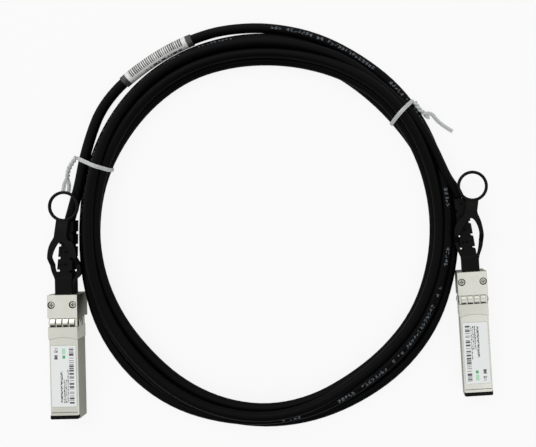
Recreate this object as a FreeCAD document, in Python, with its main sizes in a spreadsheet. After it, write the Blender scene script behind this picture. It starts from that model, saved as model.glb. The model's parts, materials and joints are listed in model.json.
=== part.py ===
"""Direct attach copper cable: two small pluggable plugs joined by three metres of coiled twinax.

Each plug is modelled in its own frame, in millimetres: X across, Y from the nose tip to the
cable, Z up from the surface that the plug lies on. A placement then lays it beside the coil.
"""
import FreeCAD, Part
import math
import os
import re
import Sketcher
from FreeCAD import Placement, Rotation, Vector

SIZES = (
    # the two shells of a plug
    ("plug_length", 59.3, "nose tip to the rear face"),
    ("block_length", 11.3, "stretch that stays outside the cage"),
    ("cage_stop", "=plug_length - block_length", "nose tip to the shoulder that stops against the cage"),
    ("body_width", 13.5, "stretch that enters the cage"),
    ("body_height", 8.5, "stretch that enters the cage"),
    ("body_bottom", 2.4, "underside of that stretch above the table"),
    ("block_width", 14.2, "stretch that stays outside the cage"),
    ("block_height", 11.4, "stretch that stays outside the cage"),
    ("parting_height", 6.5, "joint between the two shells"),
    ("side_wall", 1.0, "side walls round the circuit board"),
    ("skirt_wall", 0.7, "side walls beside the mouth"),
    ("top_plate", 1.4, "wall over the circuit board"),
    ("floor_plate", 1.2, "wall under the circuit board"),
    ("mouth_depth", 10.4, "length of the nose that is open below"),
    ("edge_bevel", 0.45, "bevel on the long top edges"),
    ("channel_width", 6.2, "cable channel between the shells"),
    ("channel_floor", 3.05, "underside of the cable channel"),
    ("channel_roof", 9.15, "top of the cable channel"),
    ("lead_floor", 5.4, "floor under the bare leads"),
    ("shell_gap", 0.1, "clearance between a shell and what lies in it"),
    # the nose
    ("lip_length", 1.9, "black lip at the nose"),
    ("lip_corner", 0.5, "bevel on the lip's front corners"),
    ("tongue_length", 7.0, "tongue that holds the lip under the top plate"),
    ("tongue_thickness", 0.8, "the same tongue"),
    ("nose_line", 3.3, "nose tip to the fine groove across the top"),
    ("nose_line_width", 0.35, "that groove"),
    ("nose_line_depth", 0.2, "that groove"),
    # circuit board
    ("board_setback", 3.2, "nose tip to the board's edge"),
    ("board_step", 12.0, "nose tip to where the board widens"),
    ("board_width", 9.2, "edge with the contacts"),
    ("board_thickness", 1.0, "circuit board"),
    ("board_drop", 2.25, "underside of the body to the board"),
    ("contact_pitch", 0.8, "edge contacts"),
    ("contact_width", 0.5, "edge contacts"),
    ("contact_length", 2.4, "edge contacts"),
    ("contact_thickness", 0.05, "edge contacts"),
    ("contact_count", 10, "edge contacts on each face"),
    ("chip_width", 3.9, "memory chip"),
    ("chip_length", 4.9, "memory chip"),
    ("chip_thickness", 1.4, "memory chip"),
    ("chip_place", 20.0, "nose tip to the memory chip"),
    ("pair_diameter", 1.4, "one insulated pair inside the cable"),
    ("pair_spread", 2.2, "pair to centre line on the board"),
    ("pair_overlap", 2.5, "soldered length on the board"),
    # shielding collar
    ("collar_reach", 9.9, "collar's front edge to the shoulder"),
    ("collar_front", "=cage_stop - collar_reach", "nose tip to the collar's front edge at the sides"),
    ("collar_arch", 1.1, "how far that edge bows back at the middle"),
    ("collar_sheet", 0.2, "sheet thickness"),
    ("finger_length", 3.8, "one finger"),
    ("finger_end", "=cage_stop - collar_sheet", "nose tip to the tips of the fingers"),
    ("finger_root", "=finger_end - finger_length", "nose tip to where the fingers start"),
    ("finger_width", 2.2, "one finger"),
    ("finger_pitch", 3.07, "finger to finger"),
    ("finger_rise", 0.6, "how far a finger bows out"),
    ("relief_length", 0.35, "step in the shoulder behind the fingers"),
    ("relief_drop", 1.0, "that step below the body"),
    # latch and release slide
    ("latch_setback", 3.0, "shoulder to the face that the cage's latch holds"),
    ("latch_shoulder", "=cage_stop - latch_setback", "nose tip to that face"),
    ("boss_length", 2.6, "latch boss"),
    ("boss_width", 2.6, "latch boss"),
    ("boss_rise", 0.45, "latch boss below the body"),
    ("slide_width", 5.9, "release slide under the body"),
    ("slide_sheet", 0.5, "sheet thickness"),
    ("slide_gap", 0.1, "clearance round the sheet"),
    ("tine_reach", 6.4, "tips of the tines to the latch face"),
    ("fork_setback", 0.7, "latch face to the root of the tines"),
    ("slide_front", "=latch_shoulder - tine_reach", "nose tip to the tips of the tines"),
    ("slide_fork", "=latch_shoulder + fork_setback", "nose tip to the root of the tines"),
    ("slide_travel", 2.5, "pull that frees the latch"),
    ("tine_width", 1.35, "one tine"),
    ("wedge_length", 1.8, "wedge at a tine's tip"),
    ("wedge_rise", 0.65, "wedge below the sheet"),
    ("leg_spread", 4.45, "centre line to the inside of a leg"),
    ("leg_setback", 0.5, "shoulder to the legs"),
    ("leg_place", "=cage_stop + leg_setback", "nose tip to the legs"),
    ("leg_length", 2.2, "leg along the plug"),
    ("leg_top", 8.5, "height of the legs"),
    ("spring_diameter", 1.3, "return spring, outside"),
    ("spring_wire", 0.25, "return spring"),
    ("spring_length", 6.2, "return spring at rest"),
    ("spring_turns", 6, "return spring"),
    # cover screws
    ("screw_offset", 5.1, "centre line to a screw"),
    ("screw_setback", 4.65, "rear face to the screws"),
    ("screw_shank", 1.6, "thread diameter"),
    ("screw_depth", 2.6, "height of the screw's tip"),
    ("screw_head", 3.0, "head diameter"),
    ("screw_head_height", 0.9, "head height"),
    ("sink_diameter", 3.5, "recess round the head"),
    ("sink_depth", 1.2, "recess round the head"),
    # hollow behind the mouth, with the board in it
    ("cavity_end", "=collar_front - shell_gap", "nose tip to the end of the board's hollow"),
    ("board_room", 2.0, "board's rear edge to the end of the hollow"),
    ("board_end", "=cavity_end - board_room", "nose tip to the board's rear edge"),
    # label on the shell
    ("label_front", 6.1, "nose tip to the label"),
    ("label_margin", 2.9, "label to the collar"),
    ("label_length", "=collar_front - label_margin - label_front", "printed label"),
    ("label_width", 11.9, "printed label"),
    ("label_thickness", 0.1, "printed label"),
    # cable, ferrule and strain boot
    ("cable_diameter", 4.9, "over the jacket"),
    ("cable_height", 6.1, "axis of the cable in the plug"),
    ("tail_setback", 8.7, "cut end of the jacket to the rear face"),
    ("tail_start", "=plug_length - tail_setback", "nose tip to the cut end of the jacket"),
    ("ferrule_diameter", 5.8, "crimped ferrule"),
    ("ferrule_setback", 5.6, "ferrule to the rear face"),
    ("ferrule_start", "=plug_length - ferrule_setback", "nose tip to the ferrule"),
    ("ferrule_length", 3.2, "crimped ferrule"),
    ("flange_setback", 2.1, "boot's flange to the rear face"),
    ("flange_place", "=plug_length - flange_setback", "nose tip to the boot's flange in the shells"),
    ("flange_length", 1.1, "flange along the plug"),
    ("flange_rise", 3.5, "flange above and below the axis"),
    ("boot_base_length", 7.8, "square end of the boot behind the plug"),
    ("boot_base_width", 8.0, "square end"),
    ("boot_base_height", 6.8, "square end"),
    ("boot_length", 35.5, "plug to the end of the boot"),
    ("boot_start_width", 7.5, "ribbed stretch at the square end"),
    ("boot_end_width", 5.9, "ribbed stretch at the cable end"),
    ("boot_start_height", 6.4, "ribbed stretch at the square end"),
    ("boot_end_height", 5.5, "ribbed stretch at the cable end"),
    ("boot_pivot", 2.0, "plug to the point where the boot bends aside"),
    ("notch_first", 11.2, "plug to the first side notch"),
    ("notch_pitch", 6.1, "notch to notch"),
    ("notch_width", 1.2, "one notch"),
    ("notch_core", 4.6, "what is left between two notches"),
    ("notch_count", 4, "side notches"),
    # pull tab
    ("arm_inside", 2.95, "centre line to the inside of an arm in the plug"),
    ("arm_width", 1.1, "arm in the plug"),
    ("arm_bottom", 6.6, "underside of an arm in the plug"),
    ("arm_thickness", 1.8, "arm in the plug"),
    ("arm_bow", 6.95, "centre line to the outside of an arm at its widest"),
    ("bow_width", 1.95, "arm at its widest"),
    ("bow_place", 17.5, "plug to where the arms are widest"),
    ("arm_straight", 4.0, "plug to where the arms start to bow"),
    ("arm_level", 14.5, "plug to where the arms start to rise"),
    ("arm_relief", 4.75, "centre line to the face that the boot is cut back to beside the arms"),
    ("neck_level", 18.0, "plug to where the arms reach the neck's height"),
    ("neck_bottom", 9.5, "underside of the neck"),
    ("neck_thickness", 1.3, "neck"),
    ("neck_width", 5.9, "neck"),
    ("neck_start", 25.5, "plug to where the two arms join"),
    ("neck_straight", 29.0, "plug to where the neck's sides run straight"),
    ("flare_place", 10.75, "plug to where an arm flares out to its bow"),
    ("flare", 6.0, "centre line to the outside of an arm there"),
    ("ring_diameter", 14.8, "pull ring, outside"),
    ("ring_wire", 1.5, "thickness of the ring"),
    ("grip_rise", 0.3, "grip ridges on the neck"),
    # where the plugs lie
    ("rear_x_a", -99.245, "middle of the left plug's rear face"),
    ("rear_y_a", 0.135, "middle of the left plug's rear face"),
    ("turn_a", 1.3, "left plug's turn in degrees"),
    ("boot_turn_a", -4.0, "left boot's bend in degrees"),
    ("flare_place_a", 8.5, "left plug to where its tab's inner arm flares"),
    ("flare_a", 7.1, "centre line to the outside of that arm there"),
    ("bow_shift_a", 0.15, "left tab's sideways set at its bow"),
    ("neck_shift_a", -0.3, "left tab's sideways set at its neck"),
    ("ring_shift_a", 1.3, "left tab's sideways set at its ring"),
    ("ring_place_a", 42.2, "left plug to the centre of its ring"),
    ("rear_x_b", 96.031, "middle of the right plug's rear face"),
    ("rear_y_b", 11.193, "middle of the right plug's rear face"),
    ("turn_b", 3.45, "right plug's turn in degrees"),
    ("boot_turn_b", 5.5, "right boot's bend in degrees"),
    ("flare_place_b", 10.75, "right plug to where its tab's outer arm flares"),
    ("flare_b", 6.0, "centre line to the outside of that arm there"),
    ("bow_shift_b", -0.1, "right tab's sideways set at its bow"),
    ("neck_shift_b", 1.5, "right tab's sideways set at its neck"),
    ("ring_shift_b", 2.9, "right tab's sideways set at its ring"),
    ("ring_place_b", 40.8, "right plug to the centre of its ring"),
    # coil, cable label and ties
    ("coil_x", -2.65, "centre of the coil's outline"),
    ("coil_y", 33.1, "centre of the coil's outline"),
    ("coil_half_x", 92.75, "half width of its outline"),
    ("coil_half_y", 98.3, "half length of its outline"),
    ("hole_x", -3.4, "centre of the coil's hole"),
    ("hole_y", 29.4, "centre of the coil's hole"),
    ("hole_half_x", 79.7, "half width of its hole"),
    ("hole_half_y", 82.4, "half length of its hole"),
    ("coil_height", 11.2, "height of the coil at its middle"),
    ("coil_slope", 1.7, "how much it drops where the turns lie flatter"),
    ("coil_shoulder", 2.6, "height where its outside starts to slope in"),
    ("coil_lean", 4.4, "how far the outside slopes in"),
    ("coil_lean_height", 7.6, "height of that slope"),
    ("wrap_thickness", 0.35, "cable label over the jacket"),
    ("tie_width", 2.3, "tie along the cable"),
    ("tie_thickness", 0.8, "tie"),
    ("tie_round", 2.6, "rounding of a tie's corners"),
    ("twist_diameter", 1.5, "twisted ends of a tie"),
    ("tie_x_left", -85.2, "centre of the left tie"),
    ("tie_y_left", 62.2, "centre of the left tie"),
    ("tie_turn_left", -20.0, "left tie's turn in degrees"),
    ("tie_span_left", 18.7, "left tie across the bundle"),
    ("tie_height_left", 12.6, "left tie"),
    ("tie_x_right", 62.7, "centre of the right tie"),
    ("tie_y_right", 87.7, "centre of the right tie"),
    ("tie_turn_right", 47.7, "right tie's turn in degrees"),
    ("tie_span_right", 15.2, "right tie across the bundle"),
    ("tie_height_right", 10.2, "right tie"),
)
NAMES = {alias for alias, value, note in SIZES}

doc = FreeCAD.newDocument("attach_cable")
sheet = doc.addObject("Spreadsheet::Sheet", "Sizes")
for row, (alias, value, note) in enumerate(SIZES, start=1):
    sheet.set(f"A{row}", alias)
    sheet.set(f"B{row}", str(value))
    sheet.set(f"C{row}", note)
    sheet.setAlias(f"B{row}", alias)
doc.recompute()

# heights and places that several pieces share
BODY_TOP = "(body_bottom + body_height)"
PLATE_UNDER = "(body_bottom + body_height - top_plate)"
BOARD_UNDER = "(body_bottom + board_drop)"
FLOOR_TOP = "(body_bottom + floor_plate)"
RECESS_ROOF = "(body_bottom + slide_sheet + slide_gap)"
WELL_FLOOR = "(body_bottom - slide_gap / 2)"
WELL_FRONT = "(leg_place - 3 * slide_gap)"
WELL_END = "(leg_place + leg_length + slide_travel + 3 * slide_gap)"
WELL_HALF = "(leg_spread + slide_sheet + 1.5 * slide_gap)"
RECESS_HALF = "(slide_width / 2 + 1.5 * slide_gap)"
SPRING_CENTRE = "(slide_width / 2 - tine_width / 2)"
SPRING_END = "(slide_front + wedge_length + slide_sheet + spring_length)"
SCREW_Y = "(plug_length - screw_setback)"
SHOULDER = "(cage_stop + relief_length)"


def size(name):
    """The number in a cell of the sheet."""
    return float(getattr(sheet, name))


def cell(text):
    """Point every size named in an expression at the sheet."""
    return re.sub(r"[a-z][a-z_]+", lambda word: "Sizes." + word[0] if word[0] in NAMES else word[0], text)


def bind(thing, **sizes):
    """Tie properties of an object to the sheet."""
    for name, text in sizes.items():
        thing.setExpression(name.replace("__", "."), cell(text))
    return thing


def lay(piece, plug):
    """Put a finished piece where its plug lies."""
    piece.Placement = Placement(Vector(0, 0, 0), Rotation(Vector(0, 0, 1), 1))
    return bind(piece, Placement__Base__x=f"rear_x_{plug} + plug_length * sin(turn_{plug})",
                Placement__Base__y=f"rear_y_{plug} - plug_length * cos(turn_{plug})",
                Placement__Rotation__Angle=f"turn_{plug}")


def plug_placement(plug):
    """The same placement as a value, for shapes made by code."""
    turn = Rotation(Vector(0, 0, 1), size(f"turn_{plug}"))
    rear = Vector(size(f"rear_x_{plug}"), size(f"rear_y_{plug}"), 0)
    return Placement(rear - turn.multVec(Vector(0, size("plug_length"), 0)), turn)


def new_body(label):
    piece = doc.addObject("PartDesign::Body", label)
    piece.Label = label
    return piece


def new_sketch(piece, role, offset, turn=None):
    """An empty sketch on one of the body's own planes, moved along its normal."""
    sketch = piece.newObject("Sketcher::SketchObject", "Outline")
    plane = [feature for feature in piece.Origin.OriginFeatures if feature.Role == role]
    sketch.AttachmentSupport = [(plane[0], "")]
    sketch.MapMode = "FlatFace"
    if turn:
        upright = Vector(0, 0, 1) if role == "XY_Plane" else Vector(0, 1, 0)
        sketch.AttachmentOffset = Placement(Vector(0, 0, 0), Rotation(upright, 1))
        bind(sketch, AttachmentOffset__Rotation__Angle=turn)
        along = "AttachmentOffset__Base__y" if role == "XY_Plane" else "AttachmentOffset__Base__x"
        bind(sketch, **{along: "plug_length + boot_pivot"})
    bind(sketch, AttachmentOffset__Base__z=offset)
    return sketch


def outline(piece, role, offset, corners, turn=None):
    """A closed sketch of straight lines, each corner held by two expressions."""
    sketch = new_sketch(piece, role, offset, turn)
    count = len(corners)
    start = [Vector(math.cos(i * math.tau / count), math.sin(i * math.tau / count), 0) for i in range(count)]
    for i in range(count):
        sketch.addGeometry(Part.LineSegment(start[i], start[(i + 1) % count]))
    for i in range(count):
        sketch.addConstraint(Sketcher.Constraint("Coincident", i, 2, (i + 1) % count, 1))
    for i, corner in enumerate(corners):
        for kind, text in zip(("DistanceX", "DistanceY"), corner):
            held = sketch.addConstraint(Sketcher.Constraint(kind, -1, 1, i, 1, 1.0))
            sketch.setExpression(f"Constraints[{held}]", cell(text))
    return sketch


def discs(piece, offset, centres, diameter):
    """A sketch of equal circles seen from above."""
    sketch = new_sketch(piece, "XY_Plane", offset)
    for i, centre in enumerate(centres):
        sketch.addGeometry(Part.Circle(Vector(0, 0, 0), Vector(0, 0, 1), 1))
        held = sketch.addConstraint(Sketcher.Constraint("Diameter", i, 1.0))
        sketch.setExpression(f"Constraints[{held}]", cell(diameter))
        for kind, text in zip(("DistanceX", "DistanceY"), centre):
            held = sketch.addConstraint(Sketcher.Constraint(kind, -1, 1, i, 3, 1.0))
            sketch.setExpression(f"Constraints[{held}]", cell(text))
    return sketch


def rectangle(left, right, front, rear):
    return [(left, front), (right, front), (right, rear), (left, rear)]


def centred(half, front, rear):
    return rectangle(f"-({half})", half, front, rear)


def pad(piece, role, corners, start, end, turn=None):
    """Material between two heights above the sketch's plane."""
    feature = piece.newObject("PartDesign::Pad", "Pad")
    feature.Profile = outline(piece, role, start, corners, turn)
    return bind(feature, Length=f"({end}) - ({start})")


def pocket(piece, role, corners, start, end, turn=None):
    """A cut between two heights above the sketch's plane."""
    feature = piece.newObject("PartDesign::Pocket", "Pocket")
    feature.Profile = outline(piece, role, end, corners, turn)
    return bind(feature, Length=f"({end}) - ({start})")


def bore(piece, centres, diameter, start, end):
    feature = piece.newObject("PartDesign::Pocket", "Bore")
    feature.Profile = discs(piece, end, centres, diameter)
    return bind(feature, Length=f"({end}) - ({start})")


def dress(piece, kind, amount, chosen):
    """A fillet or chamfer on the edges that a rule picks from the body's last shape."""
    doc.recompute()
    last = piece.Tip
    names = [f"Edge{i}" for i, edge in enumerate(last.Shape.Edges, start=1) if chosen(edge)]
    feature = piece.newObject("PartDesign::" + kind, kind)
    feature.Base = (last, names)
    last.Visibility = False
    return bind(feature, **{"Radius" if kind == "Fillet" else "Size": amount})


def coded(label, shape, plug=None):
    """A shape made by code, laid with its plug."""
    piece = doc.addObject("Part::Feature", label)
    piece.Label = label
    piece.Shape = shape
    if plug:
        piece.Placement = plug_placement(plug)
    return piece


def block(x0, x1, y0, y1, z0, z1):
    return Part.makeBox(x1 - x0, y1 - y0, z1 - z0, Vector(x0, y0, z0))


# ---------------------------------------------------------------- shells
def lower_shell(plug):
    """Die-cast half that carries the board, the latch boss and the release slide."""
    shell = new_body(f"lower_shell_{plug}")
    front = [("0", "body_bottom"), (SHOULDER, "body_bottom"),
             (SHOULDER, "parting_height"), ("0", "parting_height")]
    rear = [("cage_stop", "0"), ("plug_length", "0"), ("plug_length", "parting_height"),
            (SHOULDER, "parting_height"), (SHOULDER, "body_bottom - relief_drop"),
            ("cage_stop", "body_bottom - relief_drop")]
    pad(shell, "YZ_Plane", front, "-body_width / 2", "body_width / 2")
    pad(shell, "YZ_Plane", rear, "-block_width / 2", "block_width / 2")
    mouth = centred("body_width / 2 - skirt_wall", "0", "mouth_depth")
    hollow = centred("body_width / 2 - side_wall", "mouth_depth", "cavity_end")
    below = centred("board_width / 2 + 3 * shell_gap", "mouth_depth", "cavity_end")
    leads = centred("channel_width / 2", "cavity_end", "leg_place")
    channel = centred("channel_width / 2", "leg_place", "plug_length")
    flange = centred("channel_width / 2", "flange_place - shell_gap / 2",
                     "flange_place + flange_length + shell_gap / 2")
    pocket(shell, "XY_Plane", mouth, "body_bottom", "parting_height")
    pocket(shell, "XY_Plane", hollow, BOARD_UNDER, "parting_height")
    pocket(shell, "XY_Plane", below, FLOOR_TOP, "parting_height")
    pocket(shell, "XY_Plane", leads, "lead_floor", "parting_height")
    pocket(shell, "XY_Plane", channel, "channel_floor", "parting_height")
    pocket(shell, "XY_Plane", flange, "cable_height - flange_rise - shell_gap", "parting_height")
    pocket(shell, "XY_Plane", centred(WELL_HALF, WELL_FRONT, WELL_END), WELL_FLOOR, "parting_height")
    recess = centred(RECESS_HALF, "slide_front - 4 * slide_gap", "cage_stop")
    slot = centred(RECESS_HALF, "cage_stop - slide_gap", WELL_FRONT + " + slide_gap")
    pocket(shell, "XY_Plane", recess, "body_bottom", RECESS_ROOF)
    pocket(shell, "XY_Plane", slot, WELL_FLOOR, RECESS_ROOF)
    for side in ("", "-"):
        inner = f"{side}({SPRING_CENTRE} - 0.6 * spring_diameter)"
        outer = f"{side}({SPRING_CENTRE} + 0.6 * spring_diameter)"
        groove = rectangle(inner, outer, "slide_front + wedge_length - slide_gap", SPRING_END)
        pocket(shell, "XY_Plane", groove, RECESS_ROOF, RECESS_ROOF + " + 1.15 * spring_diameter")
    boss = [("latch_shoulder - boss_length", "body_bottom"),
            ("latch_shoulder - boss_length / 4", "body_bottom - boss_rise"),
            ("latch_shoulder", "body_bottom - boss_rise"), ("latch_shoulder", RECESS_ROOF),
            ("latch_shoulder - boss_length", RECESS_ROOF)]
    pad(shell, "YZ_Plane", boss, "-boss_width / 2", "boss_width / 2")
    bore(shell, [("screw_offset", SCREW_Y), ("-screw_offset", SCREW_Y)], "screw_shank + shell_gap",
         "screw_depth - 2 * shell_gap", "parting_height")
    corners = lambda edge: (edge.BoundBox.ZLength > size("parting_height") - 0.1
                            and edge.BoundBox.YMin > size("plug_length") - 0.1
                            and abs(edge.BoundBox.XMin) > size("block_width") / 2 - 0.1)
    dress(shell, "Fillet", "side_wall * 0.6", corners)
    return lay(shell, plug)


def upper_shell(plug):
    """Die-cast cover with the screw recesses and a cut-back nose for the black lip."""
    shell = new_body(f"upper_shell_{plug}")
    front = [("0", "parting_height"), (SHOULDER, "parting_height"), (SHOULDER, BODY_TOP),
             ("lip_length", BODY_TOP), ("lip_length", PLATE_UNDER), ("0", PLATE_UNDER)]
    rear = [(SHOULDER, "parting_height"), ("plug_length", "parting_height"),
            ("plug_length", "block_height"), (SHOULDER, "block_height")]
    pad(shell, "YZ_Plane", front, "-body_width / 2", "body_width / 2")
    pad(shell, "YZ_Plane", rear, "-block_width / 2", "block_width / 2")
    long_edges = lambda edge: (edge.BoundBox.YLength > size("cage_stop") / 2
                               and edge.BoundBox.ZMin > size("body_bottom") + size("body_height") - 0.1)
    dress(shell, "Chamfer", "edge_bevel", long_edges)
    rims = lambda edge: (abs(edge.BoundBox.ZMin - size("block_height")) < 0.01
                         and edge.BoundBox.ZLength < 0.01 and edge.BoundBox.YMax > size("cage_stop") + 1)
    dress(shell, "Chamfer", "edge_bevel * 0.6", rims)
    mouth = centred("body_width / 2 - skirt_wall", "0", "mouth_depth")
    hollow = centred("body_width / 2 - side_wall", "mouth_depth", "cavity_end")
    channel = centred("channel_width / 2", "cavity_end", "plug_length")
    flange = centred("channel_width / 2", "flange_place - shell_gap / 2",
                     "flange_place + flange_length + shell_gap / 2")
    line = centred("body_width", "nose_line - nose_line_width / 2", "nose_line + nose_line_width / 2")
    pocket(shell, "XY_Plane", mouth, "parting_height", PLATE_UNDER)
    pocket(shell, "XY_Plane", hollow, "parting_height", PLATE_UNDER)
    pocket(shell, "XY_Plane", channel, "parting_height", "channel_roof")
    pocket(shell, "XY_Plane", flange, "parting_height", "cable_height + flange_rise + shell_gap")
    pocket(shell, "XY_Plane", line, BODY_TOP + " - nose_line_depth", BODY_TOP)
    for side in ("", "-"):
        arm = rectangle(f"{side}(arm_inside - slide_gap)", f"{side}(arm_inside + arm_width + slide_gap)",
                        WELL_FRONT, "plug_length")
        leg = rectangle(f"{side}(arm_inside + arm_width)", f"{side}{WELL_HALF}", WELL_FRONT, WELL_END)
        pocket(shell, "XY_Plane", arm, "parting_height", "arm_bottom + arm_thickness + slide_gap")
        pocket(shell, "XY_Plane", leg, "parting_height", "leg_top + 2 * slide_gap")
    screws = [("screw_offset", SCREW_Y), ("-screw_offset", SCREW_Y)]
    bore(shell, screws, "screw_shank + 2 * shell_gap", "parting_height", "block_height")
    bore(shell, screws, "sink_diameter", "block_height - sink_depth", "block_height")
    return lay(shell, plug)


def nose_insert(plug):
    """Black moulded lip that closes the top of the nose, on a tongue under the top plate."""
    insert = new_body(f"nose_insert_{plug}")
    half = "body_width / 2"
    lip = [(f"-{half}", "lip_length"), (f"-{half}", "lip_corner"), (f"lip_corner - {half}", "0"),
           (f"{half} - lip_corner", "0"), (half, "lip_corner"), (half, "lip_length")]
    pad(insert, "XY_Plane", lip, PLATE_UNDER, BODY_TOP)
    tongue = centred("body_width / 2 - side_wall - shell_gap", "lip_corner", "lip_length + tongue_length")
    pad(insert, "XY_Plane", tongue, PLATE_UNDER + " - tongue_thickness", PLATE_UNDER)
    front = lambda edge: (edge.BoundBox.YMax < 0.01
                          and edge.BoundBox.ZMin > size("body_bottom") + size("body_height") - 0.01)
    dress(insert, "Fillet", "lip_corner * 0.6", front)
    return lay(insert, plug)


# ---------------------------------------------------------------- electronics
def circuit_board(plug):
    """Paddle card: a narrow edge for the contacts and wide ears that rest on the lower shell."""
    board = new_body(f"circuit_board_{plug}")
    wide = "body_width / 2 - side_wall - shell_gap"
    card = [("-board_width / 2", "board_setback"), ("board_width / 2", "board_setback"),
            ("board_width / 2", "board_step"), (wide, "board_step"), (wide, "board_end"),
            (f"-({wide})", "board_end"), (f"-({wide})", "board_step"), ("-board_width / 2", "board_step")]
    pad(board, "XY_Plane", card, BOARD_UNDER, BOARD_UNDER + " + board_thickness")
    return lay(board, plug)


def edge_contacts(plug):
    """Gold fingers on both faces of the board's edge."""
    low = size("body_bottom") + size("board_drop")
    high = low + size("board_thickness")
    width, thick, pitch = size("contact_width"), size("contact_thickness"), size("contact_pitch")
    count = int(size("contact_count"))
    front = size("board_setback") + width
    pads = []
    for i in range(count):
        x = (i - (count - 1) / 2) * pitch
        for z in (low - thick, high):
            pads.append(block(x - width / 2, x + width / 2, front, front + size("contact_length"), z, z + thick))
    return coded(f"edge_contacts_{plug}", Part.Compound(pads), plug)


def memory_chip(plug):
    """Small chip behind the contacts, which tells the host what cable this is."""
    chip = new_body(f"memory_chip_{plug}")
    pad(chip, "XY_Plane", centred("chip_width / 2", "chip_place", "chip_place + chip_length"),
        BOARD_UNDER + " + board_thickness", BOARD_UNDER + " + board_thickness + chip_thickness")
    return lay(chip, plug)


def twinax_pairs(plug):
    """The two insulated pairs, from the cut jacket to their solder joints on the board."""
    radius = size("pair_diameter") / 2
    z = size("body_bottom") + size("board_drop") + size("board_thickness") + radius
    rear = size("tail_start")
    front = size("board_end") - size("pair_overlap")
    pairs = []
    for side in (1, -1):
        near = Vector(side * size("pair_spread"), front, z)
        far = Vector(side * radius * 1.1, rear, z)
        pairs.append(Part.makeCylinder(radius, (far - near).Length, near, far - near))
    return coded(f"twinax_pairs_{plug}", Part.Compound(pairs), plug)


# ---------------------------------------------------------------- shielding collar
def spring_finger(width):
    """One finger in its own frame: Y along the plug from its root, Z out of the shell."""
    sheet_thickness, rise = size("collar_sheet"), size("finger_rise")
    length = size("finger_end") - size("finger_root")
    outer = Part.Arc(Vector(0, 0, sheet_thickness), Vector(0, length / 2, sheet_thickness + rise),
                     Vector(0, length, sheet_thickness))
    inner = Part.Arc(Vector(0, length, 0), Vector(0, length / 2, rise), Vector(0, 0, 0))
    edges = [outer.toShape(), Part.makeLine(Vector(0, length, sheet_thickness), Vector(0, length, 0)),
             inner.toShape(), Part.makeLine(Vector(0, 0, 0), Vector(0, 0, sheet_thickness))]
    finger = Part.Face(Part.Wire(edges)).extrude(Vector(width, 0, 0))
    finger.translate(Vector(-width / 2, 0, 0))
    return finger


def emi_collar(plug):
    """Spring-steel collar that wraps the shells, with bowed fingers that touch the cage."""
    half, low, high = size("body_width") / 2, size("body_bottom"), size("body_bottom") + size("body_height")
    thick, front, root = size("collar_sheet"), size("collar_front"), size("finger_root")
    band = block(-half - thick, half + thick, front, root, low - thick, high + thick)
    band = band.cut(block(-half, half, front, root, low, high))
    opening = size("slide_width") / 2 + 3 * size("slide_gap")
    band = band.cut(block(-opening, opening, front, root, low - thick, low))
    arch = size("collar_arch")
    radius = (half ** 2 + arch ** 2) / (2 * arch)
    centre = Vector(0, front + arch - radius, low - 1)
    band = band.cut(Part.makeCylinder(radius, size("body_height") + 2, centre))
    width, pitch = size("finger_width"), size("finger_pitch")
    fingers = []
    for i in range(4):
        top = spring_finger(width)
        top.translate(Vector((i - 1.5) * pitch, root, high))
        fingers.append(top)
    for side in (1, -1):
        under = spring_finger(width)
        under.rotate(Vector(0, 0, 0), Vector(0, 1, 0), 180)
        under.translate(Vector(side * 1.5 * pitch, root, low))
        fingers.append(under)
        for step in (-0.5, 0.5):
            flank = spring_finger(width)
            flank.rotate(Vector(0, 0, 0), Vector(0, 1, 0), 90 * side)
            flank.translate(Vector(side * half, root, (low + high) / 2 + step * pitch))
            fingers.append(flank)
    return coded(f"emi_collar_{plug}", band.multiFuse(fingers).removeSplitter(), plug)


# ---------------------------------------------------------------- release slide
def release_slide(plug):
    """Bent sheet: two wedged tines beside the latch boss, a cross bar and two legs for the tab."""
    slide = new_body(f"release_slide_{plug}")
    low, high = "body_bottom + slide_gap / 2", "body_bottom + slide_gap / 2 + slide_sheet"
    pad(slide, "XY_Plane", centred("slide_width / 2", "slide_fork", "leg_place + leg_length / 2"), low, high)
    pad(slide, "XY_Plane", centred("leg_spread + slide_sheet", "leg_place", "leg_place + leg_length"), low, high)
    for side in ("", "-"):
        inner, outer = f"{side}(slide_width / 2 - tine_width)", f"{side}slide_width / 2"
        pad(slide, "XY_Plane", rectangle(inner, outer, "slide_front", "slide_fork + tine_width"), low, high)
        stop = rectangle(inner, outer, "slide_front + wedge_length", "slide_front + wedge_length + slide_sheet")
        pad(slide, "XY_Plane", stop, low, RECESS_ROOF + " + 0.9 * spring_diameter")
        leg = rectangle(f"{side}leg_spread", f"{side}(leg_spread + slide_sheet)", "leg_place",
                        "leg_place + leg_length")
        pad(slide, "XY_Plane", leg, low, "leg_top")
    wedge = [("slide_front", low), ("slide_front + wedge_length / 6", "body_bottom - wedge_rise"),
             ("slide_front + wedge_length / 3", "body_bottom - wedge_rise"),
             ("slide_front + wedge_length", low), ("slide_front + wedge_length", high), ("slide_front", high)]
    pad(slide, "YZ_Plane", wedge, "slide_width / 2 - tine_width", "slide_width / 2")
    pad(slide, "YZ_Plane", wedge, "-slide_width / 2", "tine_width - slide_width / 2")
    window = [("leg_place + 0.25 * leg_length", "arm_bottom + 0.25 * arm_thickness"),
              ("leg_place + 0.75 * leg_length", "arm_bottom + 0.25 * arm_thickness"),
              ("leg_place + 0.75 * leg_length", "arm_bottom + 0.85 * arm_thickness"),
              ("leg_place + 0.25 * leg_length", "arm_bottom + 0.85 * arm_thickness")]
    pocket(slide, "YZ_Plane", window, "-leg_spread - 2 * slide_sheet", "leg_spread + 2 * slide_sheet")
    return lay(slide, plug)


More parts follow.
